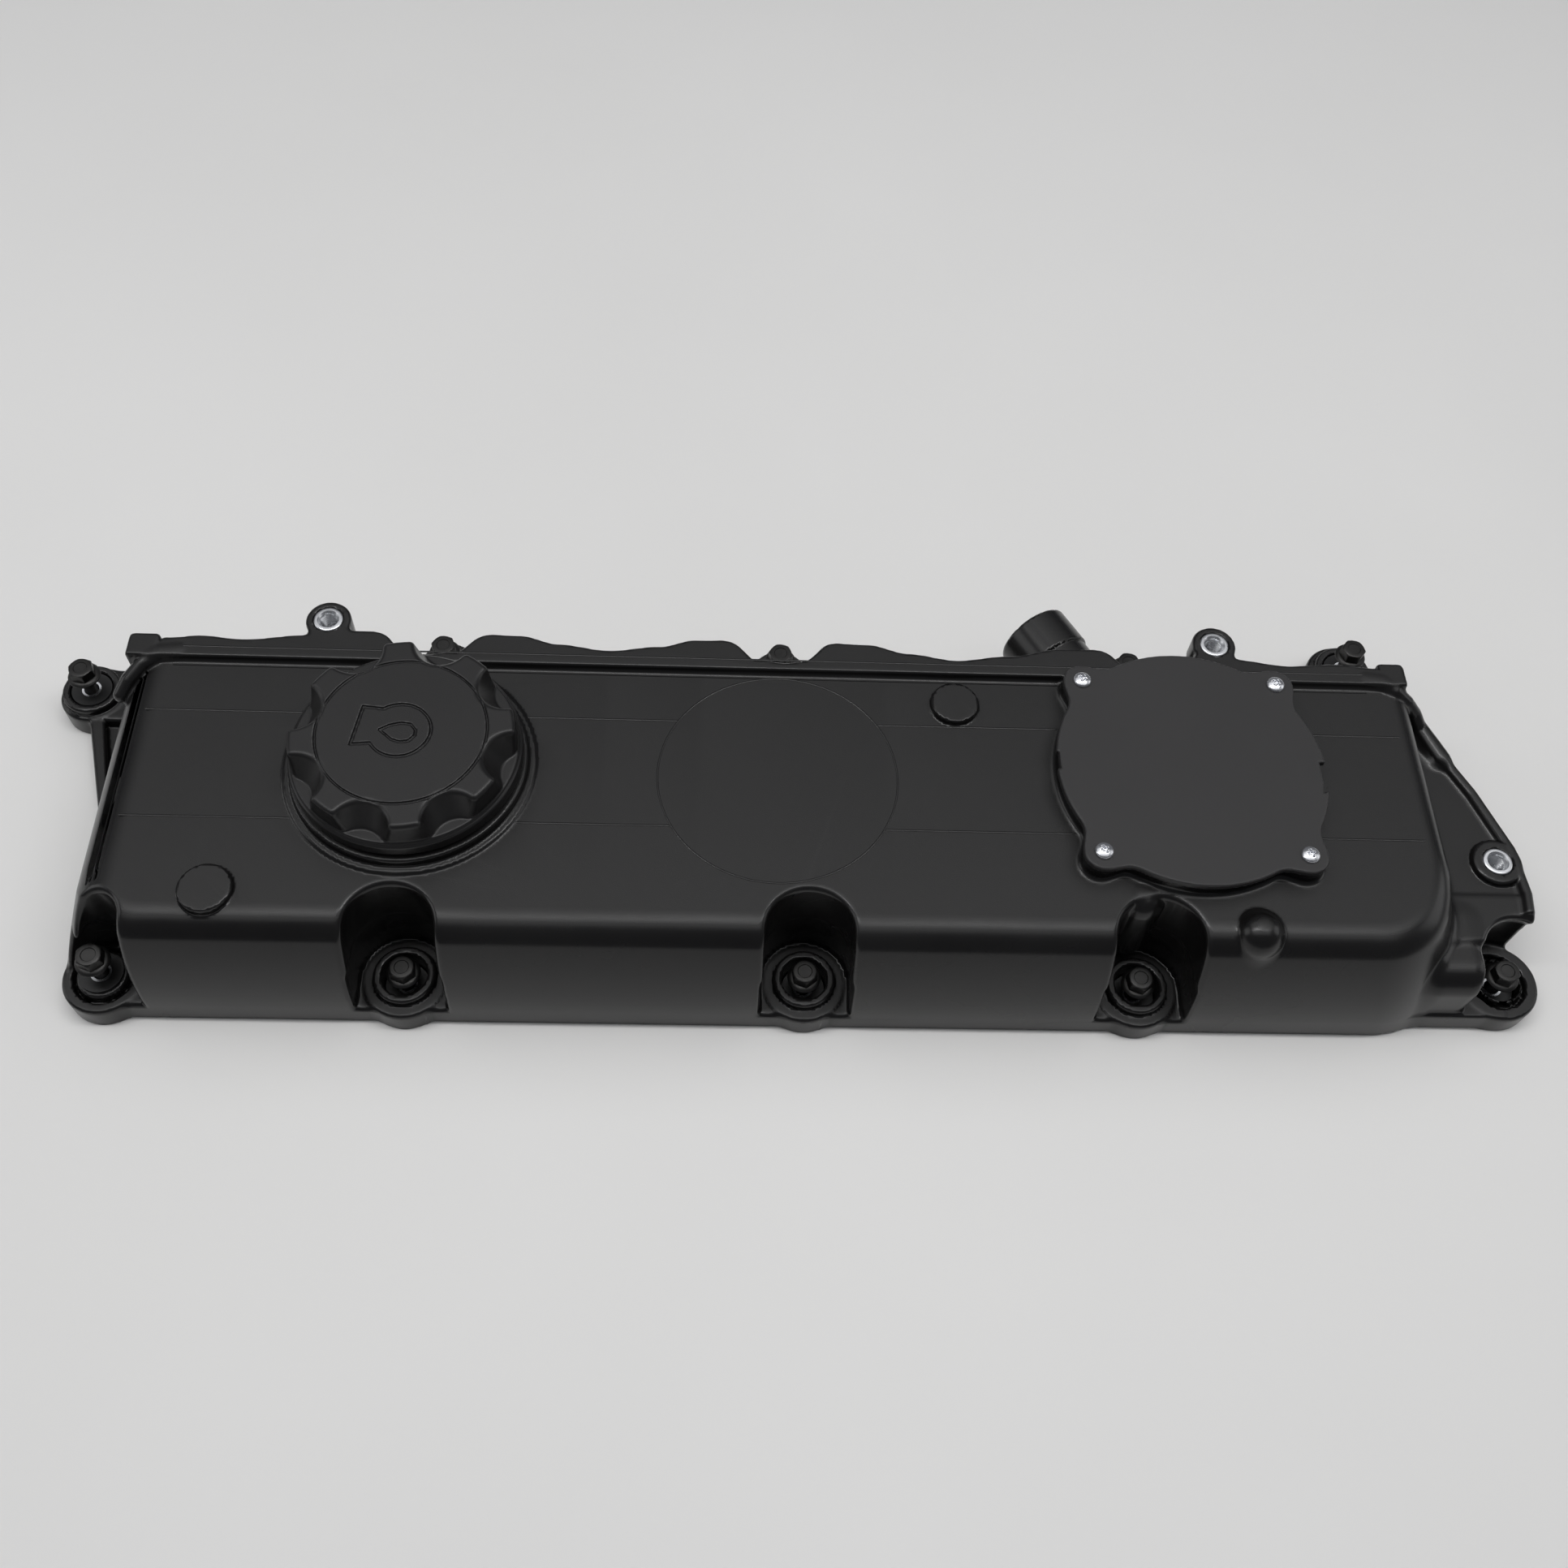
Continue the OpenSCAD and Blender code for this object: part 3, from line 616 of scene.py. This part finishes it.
def shader(name, colour, roughness, metallic=0.0, **sockets):
    """A new material with one Principled shader, and the tools to wire nodes to it."""
    material = bpy.data.materials.new(name)
    material.use_nodes = True
    tree = material.node_tree
    bsdf = tree.nodes["Principled BSDF"]
    bsdf.inputs["Base Color"].default_value = (*colour, 1)
    bsdf.inputs["Roughness"].default_value = roughness
    bsdf.inputs["Metallic"].default_value = metallic
    for key, value in sockets.items():
        bsdf.inputs[key.replace("_", " ")].default_value = value
    return material, tree, bsdf


def add_node(tree, kind, **settings):
    node = tree.nodes.new(kind)
    for key, value in settings.items():
        if key.startswith("in_"):
            node.inputs[key[3:]].default_value = value
        else:
            setattr(node, key, value)
    return node


def noise(tree, scale, detail=3.0):
    where = add_node(tree, "ShaderNodeTexCoord")
    made = add_node(tree, "ShaderNodeTexNoise", in_Scale=scale, in_Detail=detail, in_Roughness=0.55)
    tree.links.new(where.outputs["Object"], made.inputs["Vector"])
    return made.outputs["Fac"]


def remap(tree, value, low, high, start=0.3, end=0.7):
    """A value between two numbers, following an input between start and end."""
    made = add_node(tree, "ShaderNodeMapRange")
    for socket, number in zip(("From Min", "From Max", "To Min", "To Max"), (start, end, low, high)):
        made.inputs[socket].default_value = number
    tree.links.new(value, made.inputs["Value"])
    return made.outputs["Result"]


def between(tree, factor, first, second):
    """A colour that goes from first to second with a factor."""
    made = add_node(tree, "ShaderNodeMix", data_type="RGBA")
    made.inputs["A"].default_value = (*first, 1)
    made.inputs["B"].default_value = (*second, 1)
    tree.links.new(factor, made.inputs["Factor"])
    return made.outputs["Result"]


def maths(tree, operation, *values):
    made = add_node(tree, "ShaderNodeMath", operation=operation)
    for socket, value in zip(made.inputs, values):
        if isinstance(value, (int, float)):
            socket.default_value = value
        else:
            tree.links.new(value, socket)
    return made.outputs["Value"]


def add_bump(tree, bsdf, height, strength, distance):
    made = add_node(tree, "ShaderNodeBump", in_Strength=strength, in_Distance=distance)
    tree.links.new(height, made.inputs["Height"])
    if bsdf.inputs["Normal"].links:
        tree.links.new(bsdf.inputs["Normal"].links[0].from_socket, made.inputs["Normal"])
    tree.links.new(made.outputs["Normal"], bsdf.inputs["Normal"])


def worn_edges(tree, amount):
    """How much a convex edge shows wear, from the surface's curvature and a patchy noise."""
    geometry = add_node(tree, "ShaderNodeNewGeometry")
    edge = remap(tree, geometry.outputs["Pointiness"], 0, amount, 0.52, 0.6)
    return maths(tree, "MULTIPLY", edge, remap(tree, noise(tree, 60), 0.2, 1.0))


def plastic(name, colour, wall_roughness, flat_roughness, grain=0.5):
    """Moulded black plastic: satin on the walls, with a fine matte grain on level faces."""
    material, tree, bsdf = shader(name, colour, wall_roughness, Specular_IOR_Level=0.42)
    geometry = add_node(tree, "ShaderNodeNewGeometry")
    split = add_node(tree, "ShaderNodeSeparateXYZ")
    tree.links.new(geometry.outputs["Normal"], split.inputs["Vector"])
    level = remap(tree, split.outputs["Z"], 0, 1, 0.93, 0.995)
    cloud = noise(tree, 14)
    base = maths(tree, "MULTIPLY_ADD", level, flat_roughness - wall_roughness, wall_roughness)
    tree.links.new(maths(tree, "ADD", base, remap(tree, cloud, -0.035, 0.045)), bsdf.inputs["Roughness"])
    lighter = [c * 1.5 + 0.004 for c in colour]
    worn = between(tree, worn_edges(tree, 0.55), colour, [c * 2.2 + 0.012 for c in colour])
    made = add_node(tree, "ShaderNodeMix", data_type="RGBA")
    made.inputs["B"].default_value = (*lighter, 1)
    tree.links.new(remap(tree, cloud, 0, 0.35, 0.42, 0.75), made.inputs["Factor"])
    tree.links.new(worn, made.inputs["A"])
    tree.links.new(made.outputs["Result"], bsdf.inputs["Base Color"])
    fine = maths(tree, "MULTIPLY", noise(tree, 2600, 2), maths(tree, "MULTIPLY_ADD", level, 0.8, 0.2))
    add_bump(tree, bsdf, fine, grain, 0.00012)
    add_bump(tree, bsdf, noise(tree, 130, 2), 0.06, 0.0004)
    return material


def rubber(name, colour, roughness):
    material, tree, bsdf = shader(name, colour, roughness, Specular_IOR_Level=0.35)
    tree.links.new(remap(tree, noise(tree, 90), roughness - 0.08, roughness + 0.1), bsdf.inputs["Roughness"])
    shade = between(tree, remap(tree, noise(tree, 40), 0, 1), colour, [c * 1.6 + 0.003 for c in colour])
    tree.links.new(shade, bsdf.inputs["Base Color"])
    add_bump(tree, bsdf, noise(tree, 1800, 3), 0.35, 0.0001)
    return material


def metal(name, colour, roughness, bump=0.2, wear=1.15):
    """Plated or coated metal with a fine uneven surface and brighter edges."""
    material, tree, bsdf = shader(name, colour, roughness, metallic=0.95)
    uneven = remap(tree, noise(tree, 220), roughness - 0.07, roughness + 0.12)
    tree.links.new(uneven, bsdf.inputs["Roughness"])
    bright = [min(c * wear + 0.02, 0.95) for c in colour]
    tone = between(tree, maths(tree, "MAXIMUM", worn_edges(tree, 0.9), remap(tree, noise(tree, 75), 0, 0.35)),
                   colour, bright)
    tree.links.new(tone, bsdf.inputs["Base Color"])
    add_bump(tree, bsdf, noise(tree, 1500, 3), bump, 0.00008)
    return material


COVER_PLASTIC = plastic("cover_plastic", (0.0056, 0.0053, 0.0053), 0.25, 0.5)
CAP_PLASTIC = plastic("cap_plastic", (0.0068, 0.0064, 0.0066), 0.34, 0.5)
VENT_PLASTIC = plastic("vent_plastic", (0.022, 0.0213, 0.0218), 0.4, 0.58, 0.4)
BLACK_RUBBER = rubber("black_rubber", (0.007, 0.007, 0.0072), 0.42)
GREY_RUBBER = rubber("grey_rubber", (0.02, 0.02, 0.021), 0.6)
PHOSPHATE = metal("phosphate", (0.03, 0.0295, 0.029), 0.42, 0.35, 2.2)
ZINC = metal("zinc", (0.62, 0.63, 0.65), 0.27)
BRIGHT = metal("bright_zinc", (0.7, 0.71, 0.74), 0.22)
SPRING_STEEL = metal("spring_steel", (0.42, 0.42, 0.43), 0.3)

NODE_MATERIALS = {
    "perimeter_gasket": GREY_RUBBER, "bolt_grommets": BLACK_RUBBER, "limiter_sleeves": ZINC,
    "cap_plug": CAP_PLASTIC, "diaphragm": BLACK_RUBBER, "pressure_plate": ZINC,
    "valve_spring": SPRING_STEEL, "separator_baffle": COVER_PLASTIC, "baffle_screws": BRIGHT,
}


def finish_cad_nodes():
    """Gives every CAD node that stays visible a material with grain and wear."""
    for name, material in NODE_MATERIALS.items():
        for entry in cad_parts[name].material_slots:
            entry.material = material


# ---------------------------------------------------------------- turned and small pieces

def turned(name, rings, is_ring=False, steps=72):
    """A mesh from rings of (height, radius or radius at an angle), capped or joined end to end."""
    angles = np.linspace(0, 2 * math.pi, steps, endpoint=False)
    points = []
    for height, radius in rings:
        r = radius(angles) if callable(radius) else np.full(steps, float(radius))
        z = np.full(steps, float(height))
        points += np.stack([r * np.cos(angles), r * np.sin(angles), z], axis=1).tolist()
    faces = []
    count = len(rings)
    for k in range(count if is_ring else count - 1):
        a, b = k * steps, ((k + 1) % count) * steps
        faces += [(a + i, a + (i + 1) % steps, b + (i + 1) % steps, b + i) for i in range(steps)]
    if not is_ring:
        faces += [list(range(steps))[::-1], list(range((count - 1) * steps, count * steps))]
    return make_mesh(name, points, faces)


def bevel(points, size, steps=2):
    """A turned outline with its inner corners cut back, so that edges catch the light."""
    points = [np.array(p, float) for p in points]
    out = [points[0]]
    for before, here, after in zip(points, points[1:], points[2:]):
        a, b = before - here, after - here
        cut = min(size, 0.45 * np.linalg.norm(a), 0.45 * np.linalg.norm(b))
        start, end = here + a / np.linalg.norm(a) * cut, here + b / np.linalg.norm(b) * cut
        for i in range(steps + 1):
            t = i / steps
            out.append((1 - t) ** 2 * start + 2 * t * (1 - t) * here + t * t * end)
    return out + [points[-1]]


def set_down(mesh, centre, turn=0.0):
    """Turns a mesh about its own axis and moves it to its place."""
    for vertex in mesh.vertices:
        x, y = vertex.co.x, vertex.co.y
        vertex.co.x = x * math.cos(turn) - y * math.sin(turn) + centre[0] * MM
        vertex.co.y = x * math.sin(turn) + y * math.cos(turn) + centre[1] * MM
    return mesh


def add_piece(name, mesh, body, slot_name, material, *nodes):
    obj = place(bpy.data.objects.new(name, mesh), body, slot_name, material)
    if nodes:
        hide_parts(*nodes)
    return obj


# ---------------------------------------------------------------- bolts, screws and bushes

HEX_FLAT = 5.0
PAN_RADIUS = 3.9


def hexagon(flat, limit):
    """Radius of a hexagon at each angle, cut down to a circle of the limit."""
    def radius(angles):
        turn = (angles + math.pi / 6) % (math.pi / 3) - math.pi / 6
        return np.minimum(flat / np.cos(turn), limit)
    return radius


def thread_rings(radius, depth, foot, top, pitch):
    """Rings of a helical thread: the radius goes in and out once a pitch, a step later at each angle."""
    per_turn = 6
    count = int((top - foot) / pitch * per_turn)

    def ring(height):
        def at_angle(angles):
            phase = (height / pitch - angles / (2 * math.pi)) % 1
            fade = min(1, (top - height) / pitch, (height - foot) / pitch)
            return radius - depth * fade * np.abs(2 * phase - 1)
        return at_angle
    heights = [foot + (top - foot) * k / count for k in range(count + 1)]
    return [(height, ring(height)) for height in heights]


def bolt_mesh(name, foot, top, centre):
    """Flange bolt: rounded tip, thread, plain neck, washer flange and chamfered hexagon head."""
    seat = top - 7.0
    rings = [(foot, 2.1), (foot + 0.5, 2.5)]
    rings += thread_rings(3.0, 0.45, foot + 0.6, seat - 3, 1.0)
    rings += [(seat - 2.6, 2.75), (seat, 2.75), (seat, 6.8), (seat + 0.3, 7.1), (seat + 0.9, 7.1),
              (seat + 1.4, 6.6), (seat + 1.9, 5.9)]
    rings += [(seat + 1.95, hexagon(HEX_FLAT, 5.75)), (top - 1.1, hexagon(HEX_FLAT, 5.75)),
              (top - 0.75, hexagon(HEX_FLAT, 5.5)), (top - 0.4, hexagon(HEX_FLAT, 5.1)), (top - 0.2, 4.75),
              (top - 0.12, 4.4), (top - 0.12, 3.1), (top - 0.45, 2.8), (top - 0.45, 1.2)]
    return set_down(turned(name, rings), centre, 0.35 if "rear" in name else 0.15)


def make_bolts():
    for name in BOLTS:
        low, high = corners(name)
        mesh = bolt_mesh(name, low[2], high[2], PLACE[name])
        add_piece(f"{name}_detail", mesh, name, "phosphate_bolt", PHOSPHATE, name)


def bush_mesh(name, centre, top):
    """Threaded bush: a bright rim, a chamfer, and a thread down the bore."""
    foot = top - BUSH_DEPTH
    rings = [(foot, 3.5), (foot, 6.3), (top - 0.35, 6.3), (top - 0.05, 6.0), (top, 5.6), (top, 4.75)]
    rings += [(top - 0.2, 4.5), (top - 0.9, 3.95)]
    rings += thread_rings(4.1, 0.7, top - 13.6, top - 1.0, 1.25)[::-1]
    return set_down(turned(name, rings, is_ring=True), centre)


def make_bushes():
    for name in INSERTS:
        mesh = bush_mesh(name, PLACE[name], top_of(name))
        add_piece(f"{name}_bush", mesh, "cover", "zinc_steel", ZINC, name)


def screw_field(centre, seat, turn):
    """Pan head with a cross recess, on a plain shank."""
    def field(x, y, z):
        px, py, h = x - centre[0], y - centre[1], z - seat
        r = np.hypot(px, py)
        dome = np.sqrt(r * r + (h + 3.9) ** 2) - 6.25
        head = common(common(r - PAN_RADIUS, dome, 0.5), -h, 0.2)
        u, v = px * math.cos(turn) + py * math.sin(turn), py * math.cos(turn) - px * math.sin(turn)
        depth = 0.75 - h
        taper = 0.35 + 0.12 * np.clip(h - 0.75, 0, 2)
        arms = np.minimum(np.maximum(np.abs(u) - 1.75, np.abs(v) - taper),
                          np.maximum(np.abs(v) - 1.75, np.abs(u) - taper))
        arms = np.minimum(arms, r - 0.85)
        head = common(head, -np.maximum(arms, depth), 0.12)
        shank = np.maximum(np.maximum(r - 1.85, h - 0.4), -4 - h)
        return np.minimum(head, shank)
    return field


def make_vent_screws():
    low, high = corners("vent_screws")
    columns = (low[0] + PAN_RADIUS, high[0] - PAN_RADIUS)
    rows = (low[1] + PAN_RADIUS, high[1] - PAN_RADIUS)
    seat = VENT_TOP
    objects = []
    for i, (cx, cy) in enumerate([(a, b) for a in columns for b in rows]):
        field = screw_field((cx, cy), seat, 0.4 + 0.7 * i)
        box = (cx - 4.2, cy - 4.2, seat - 4.2), (cx + 4.2, cy + 4.2, seat + 2.6)
        obj = carved(f"vent_screw_{i + 1}", field, *box, 0.24, 9000)
        place(obj, "cover", "bright_screw", BRIGHT)
        objects.append(obj)
    for obj in objects:
        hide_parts("vent_screws")


# ---------------------------------------------------------------- oil filler cap

CAP_TOP = top_of("filler_cap")
SKIRT_FOOT = corners("filler_cap")[0][2]
GRIP_FOOT = SKIRT_FOOT + 5
GRIP_RADIUS = 45.5
SKIRT_RADIUS = 47.5
LOBES = 8
GRIP_TURN = math.radians(-14)
SCOOP_PLACE = 48.7
SCOOP_SLOPE = 0.62
SCOOP_RADIUS = 12.2
SYMBOL_BLOCK = [(-9.5, 10.6), (-16.6, 11.3), (-19.4, -7.0), (-11.4, -6.2)]
SYMBOL_DROP = [(-8.6, 0.2), (-4.6, 2.6), (-0.4, 3.7), (3.6, 3.2), (5.6, 0.6), (5.6, -2.2), (3.6, -4.8),
               (0, -5.4), (-3.6, -4.2)]
SYMBOL_CENTRE = (-0.8, 0.2)
SYMBOL_RADIUS = 12.6


def symbol_lines(px, py):
    """Distance to the engraved lines of the oil sign: a crankcase outline with a drop inside it."""
    neck = outline(px, py, SYMBOL_BLOCK + [(-6, -6), (-6, 10)])
    case = np.minimum(disc(px, py, SYMBOL_CENTRE, SYMBOL_RADIUS), neck)
    drop = outline(px, py, SYMBOL_DROP)
    return np.minimum(np.abs(case) - 0.55, np.abs(drop) - 0.5)


def cap_field(x, y, z):
    """The filler cap: a lobed grip over a plain skirt, hollow for its plug."""
    px, py = x - NECK[0], y - NECK[1]
    r, angle = np.hypot(px, py), np.arctan2(py, px)
    sector = 2 * math.pi / LOBES
    turn = (angle - GRIP_TURN + sector / 2) % sector - sector / 2
    u, v = r * np.cos(turn), r * np.sin(turn)
    down = CAP_TOP - z
    grip = common(r - GRIP_RADIUS, z - CAP_TOP, 2.2)
    scoop = np.hypot((u - SCOOP_PLACE - SCOOP_SLOPE * down) / math.hypot(1, SCOOP_SLOPE), v) - SCOOP_RADIUS
    grip = common(grip, -scoop, 1.6)
    grip = np.maximum(grip, GRIP_FOOT - 0.5 - z)
    skirt = common(r - SKIRT_RADIUS, z - GRIP_FOOT - 0.6, 1.2)
    band = common(r - SKIRT_RADIUS + 1.2, z - GRIP_FOOT - 1.8, 1)
    d = blend(blend(grip, skirt, 0.8), band, 0.6)
    d = common(d, SKIRT_FOOT - z, 0.6)
    hollow = np.maximum(r - 33.1, z - (CAP_TOP - 4))
    d = np.maximum(d, -hollow)
    groove = np.abs(r - 34.3) - 0.45
    lines = np.where(r < 30, symbol_lines(px, py), 9.0)
    cuts = np.maximum(np.minimum(groove, lines), CAP_TOP - 0.7 - z)
    return common(d, -cuts, 0.15)


def make_cap():
    half = SKIRT_RADIUS + 0.1
    low = (NECK[0] - half, NECK[1] - half, SKIRT_FOOT)
    high = (NECK[0] + half, NECK[1] + half, CAP_TOP)
    obj = carved("filler_cap_grip", cap_field, low, high, 0.52, 150000)
    place(obj, "cap", "cap_plastic", CAP_PLASTIC)
    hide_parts("filler_cap")


def make_cap_seal():
    """Seal between the cap and the neck: two round lips joined by a web."""
    low, high = NECK_TOP, top_of("cap_seal")
    outer = corners("cap_seal")[1][0] - NECK[0]
    profile = [(39.6, low + 0.1), (outer - 0.3, low + 0.02), (outer, low + 0.5), (outer - 0.3, low + 1.05),
               (outer - 1.2, low + 1.25), (outer - 0.3, low + 1.5), (outer, low + 2),
               (outer - 0.3, high - 0.02), (39.6, high - 0.1)]
    rings = [(height, radius) for radius, height in bevel(profile, 0.15)]
    mesh = set_down(turned("cap_seal_lips", rings, is_ring=True, steps=128), NECK)
    add_piece("cap_seal_lips", mesh, "seal_ring", "rubber_black", BLACK_RUBBER, "cap_seal")


# ---------------------------------------------------------------- breather valve cover

def vent_cover_field(x, y, z):
    """The breather valve's flat cover, with a slit, a small arrow, a notch and four screw holes."""
    plan = vent_plan(x, y, 57.5, 8, 9)
    px, py = x - VENT[0], y - VENT[1]
    slit = np.maximum(np.abs(px - 56.4) - 1.5, np.abs(py + 2.6) - 5.6)
    arrow = outline(px, py, [(54.6, -8), (57.9, -9.4), (54.2, -12.2)])
    notch = np.maximum(np.abs(px + 57.6) - 1.4, np.abs(py - 1.5) - 4.2)
    plan = common(plan, -np.minimum(np.minimum(slit, arrow), notch), 0.3)
    d = common(common(plan, z - VENT_TOP, 0.7), VENT_RIM - z, 0.2)
    for sx in (-VENT_SCREW, VENT_SCREW):
        for sy in (-VENT_SCREW, VENT_SCREW):
            d = common(d, -(np.hypot(px - sx, py - sy) - 2.3), 0.1)
    return d


def make_vent_cover():
    low, high = corners("vent_cover")
    obj = carved("vent_cover_plate", vent_cover_field, low, high, 0.75, 90000)
    place(obj, "cover", "vent_plastic", VENT_PLASTIC)
    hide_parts("vent_cover")


# ---------------------------------------------------------------- cover shell and its fine lines

def make_shell():
    obj = carved("cover_moulding", shell, SHELL_LOW, SHELL_HIGH, 1.25, 195000)
    place(obj, "cover", "moulded_plastic", COVER_PLASTIC)
    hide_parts("cover_shell")


LINE_WIDTH = 0.9
LINE_HEIGHT = 0.22
PAD = (-1.9, -12.0)
PAD_RADIUS = 50.5


def ridge(name, path, level, width=LINE_WIDTH, height=LINE_HEIGHT):
    """A fine raised line on the deck, along a path in plan."""
    path = np.array(path, float)
    along = np.gradient(path, axis=0)
    along /= np.linalg.norm(along, axis=1)[:, None]
    side = np.stack([-along[:, 1], along[:, 0]], axis=1)
    section = [(-0.5, -0.6), (-0.5, 0.35), (-0.25, 1), (0.25, 1), (0.5, 0.35), (0.5, -0.6)]
    points, faces = [], []
    for p, s in zip(path, side):
        points += [(*(p + s * a * width), level + b * height) for a, b in section]
    n = len(section)
    for k in range(len(path) - 1):
        a, b = k * n, (k + 1) * n
        faces += [(a + i, a + (i + 1) % n, b + (i + 1) % n, b + i) for i in range(n)]
    faces += [tuple(range(n))[::-1], tuple(range((len(path) - 1) * n, len(path) * n))]
    return add_piece(name, make_mesh(name, points, faces), "cover", "moulded_plastic", COVER_PLASTIC)


def straight(x0, x1, y, steps=8):
    return [(x0 + (x1 - x0) * i / steps, y) for i in range(steps + 1)]


def circle_path(centre, r, steps=128):
    angles = np.radians(np.linspace(0, 359.9, steps + 1))
    return [(centre[0] + r * math.cos(a), centre[1] + r * math.sin(a)) for a in angles]


def chord(centre, r, y):
    """Half the width of a circle at a height y."""
    return math.sqrt(max(r * r - (y - centre[1]) ** 2, 0))


def make_lines():
    """Two lines along the deck, broken at the round parts, one circle, and the lines along the rail."""
    for i, y in enumerate((15.3, -36.7)):
        stops = [LEFT[1] + 13]
        for centre, r in ((NECK, 52.4), (PAD, PAD_RADIUS), (VENT, 57.0)):
            half = chord(centre, r, y)
            stops += [centre[0] - half - 0.6, centre[0] + half + 0.6]
        stops.append(RIGHT[1] - 11)
        for k in range(0, len(stops), 2):
            ridge(f"deck_line_{i + 1}_{k // 2 + 1}", straight(stops[k], stops[k + 1], y), DECK)
    ridge("pad_line", circle_path(PAD, PAD_RADIUS), DECK, 0.8)
    ridge("rail_line", straight(-262, 260, STRIP_REAR - 0.4, 40), REAR_DECK, 0.8, 0.2)
    for k, (start, end) in enumerate(((-262, 125), (220, 260))):
        ridge(f"rail_foot_line_{k + 1}", straight(start, end, RAIL_FRONT - 2.4, 40), DECK, 0.8, 0.25)


# ---------------------------------------------------------------- floor, lights and camera

def make_floor():
    mesh = bpy.data.meshes.new("floor")
    half = 6.0
    outer = [(-half, -half, 0), (half, -half, 0), (half, half, 0), (-half, half, 0)]
    mesh.from_pydata(outer, [], [(0, 1, 2, 3)])
    material, tree, bsdf = shader("pale_floor", (0.76, 0.755, 0.745), 0.6, Specular_IOR_Level=0.3)
    shade = between(tree, remap(tree, noise(tree, 1.6, 4), 0, 1), (0.74, 0.735, 0.725), (0.785, 0.78, 0.77))
    tree.links.new(shade, bsdf.inputs["Base Color"])
    mesh.materials.append(material)
    floor = bpy.data.objects.new("floor", mesh)
    bpy.context.scene.collection.objects.link(floor)


def area_light(name, where, aim, size, power):
    light = bpy.data.lights.new(name, "AREA")
    light.shape = "RECTANGLE"
    light.size, light.size_y = size
    light.energy = power
    obj = bpy.data.objects.new(name, light)
    obj.location = where
    obj.rotation_euler = (Vector(aim) - Vector(where)).to_track_quat("-Z", "Y").to_euler()
    bpy.context.scene.collection.objects.link(obj)


def make_lights():
    area_light("ceiling_strip", (0.0, 0.0, 1.7), (0, 0, 0), (2.6, 0.12), 14.4)
    area_light("ceiling_soft", (0.0, 0.25, 1.75), (0, 0.1, 0), (3.2, 2.3), 19.2)
    area_light("soft_left", (-2.4, 0.2, 1.0), (0, 0, 0), (1.2, 1.2), 6)
    area_light("soft_right", (2.4, 0.2, 1.0), (0, 0, 0), (1.2, 1.2), 4.8)
    world = bpy.data.worlds.new("studio")
    world.use_nodes = True
    world.node_tree.nodes["Background"].inputs["Color"].default_value = (0.9, 0.93, 1.0, 1)
    world.node_tree.nodes["Background"].inputs["Strength"].default_value = 0.12
    bpy.context.scene.world = world
    bpy.context.scene.view_settings.view_transform = "Standard"


CAMERA_AZIMUTH, CAMERA_ELEVATION, CAMERA_ROLL = (math.radians(a) for a in (4.711, 58.061, -5.225))
CAMERA_DISTANCE = 0.7307
CAMERA_TARGET = Vector((0.00382, 0.02312, 0.0))
CAMERA_LENS = 36.02


def make_camera():
    """A camera that looks down on the cover's front, turned a little about its own axis."""
    az, el, roll = CAMERA_AZIMUTH, CAMERA_ELEVATION, CAMERA_ROLL
    forward = Vector((math.sin(az) * math.cos(el), math.cos(az) * math.cos(el), -math.sin(el)))
    right = forward.cross(Vector((0, 0, 1))).normalized()
    down = forward.cross(right)
    side = math.cos(roll) * right + math.sin(roll) * down
    down = -math.sin(roll) * right + math.cos(roll) * down
    camera = bpy.data.cameras.new("camera")
    camera.sensor_width, camera.lens = 36.0, CAMERA_LENS
    camera.clip_start, camera.clip_end = 0.01, 50
    obj = bpy.data.objects.new("camera", camera)
    obj.matrix_world = Matrix.Translation(CAMERA_TARGET - CAMERA_DISTANCE * forward) @ Matrix(
        (side, -down, -forward)).transposed().to_4x4()
    bpy.context.scene.collection.objects.link(obj)
    bpy.context.scene.camera = obj


make_shell()
make_cap()
make_cap_seal()
make_vent_cover()
make_vent_screws()
make_bolts()
make_bushes()
make_lines()
finish_cad_nodes()
make_floor()
make_lights()
make_camera()
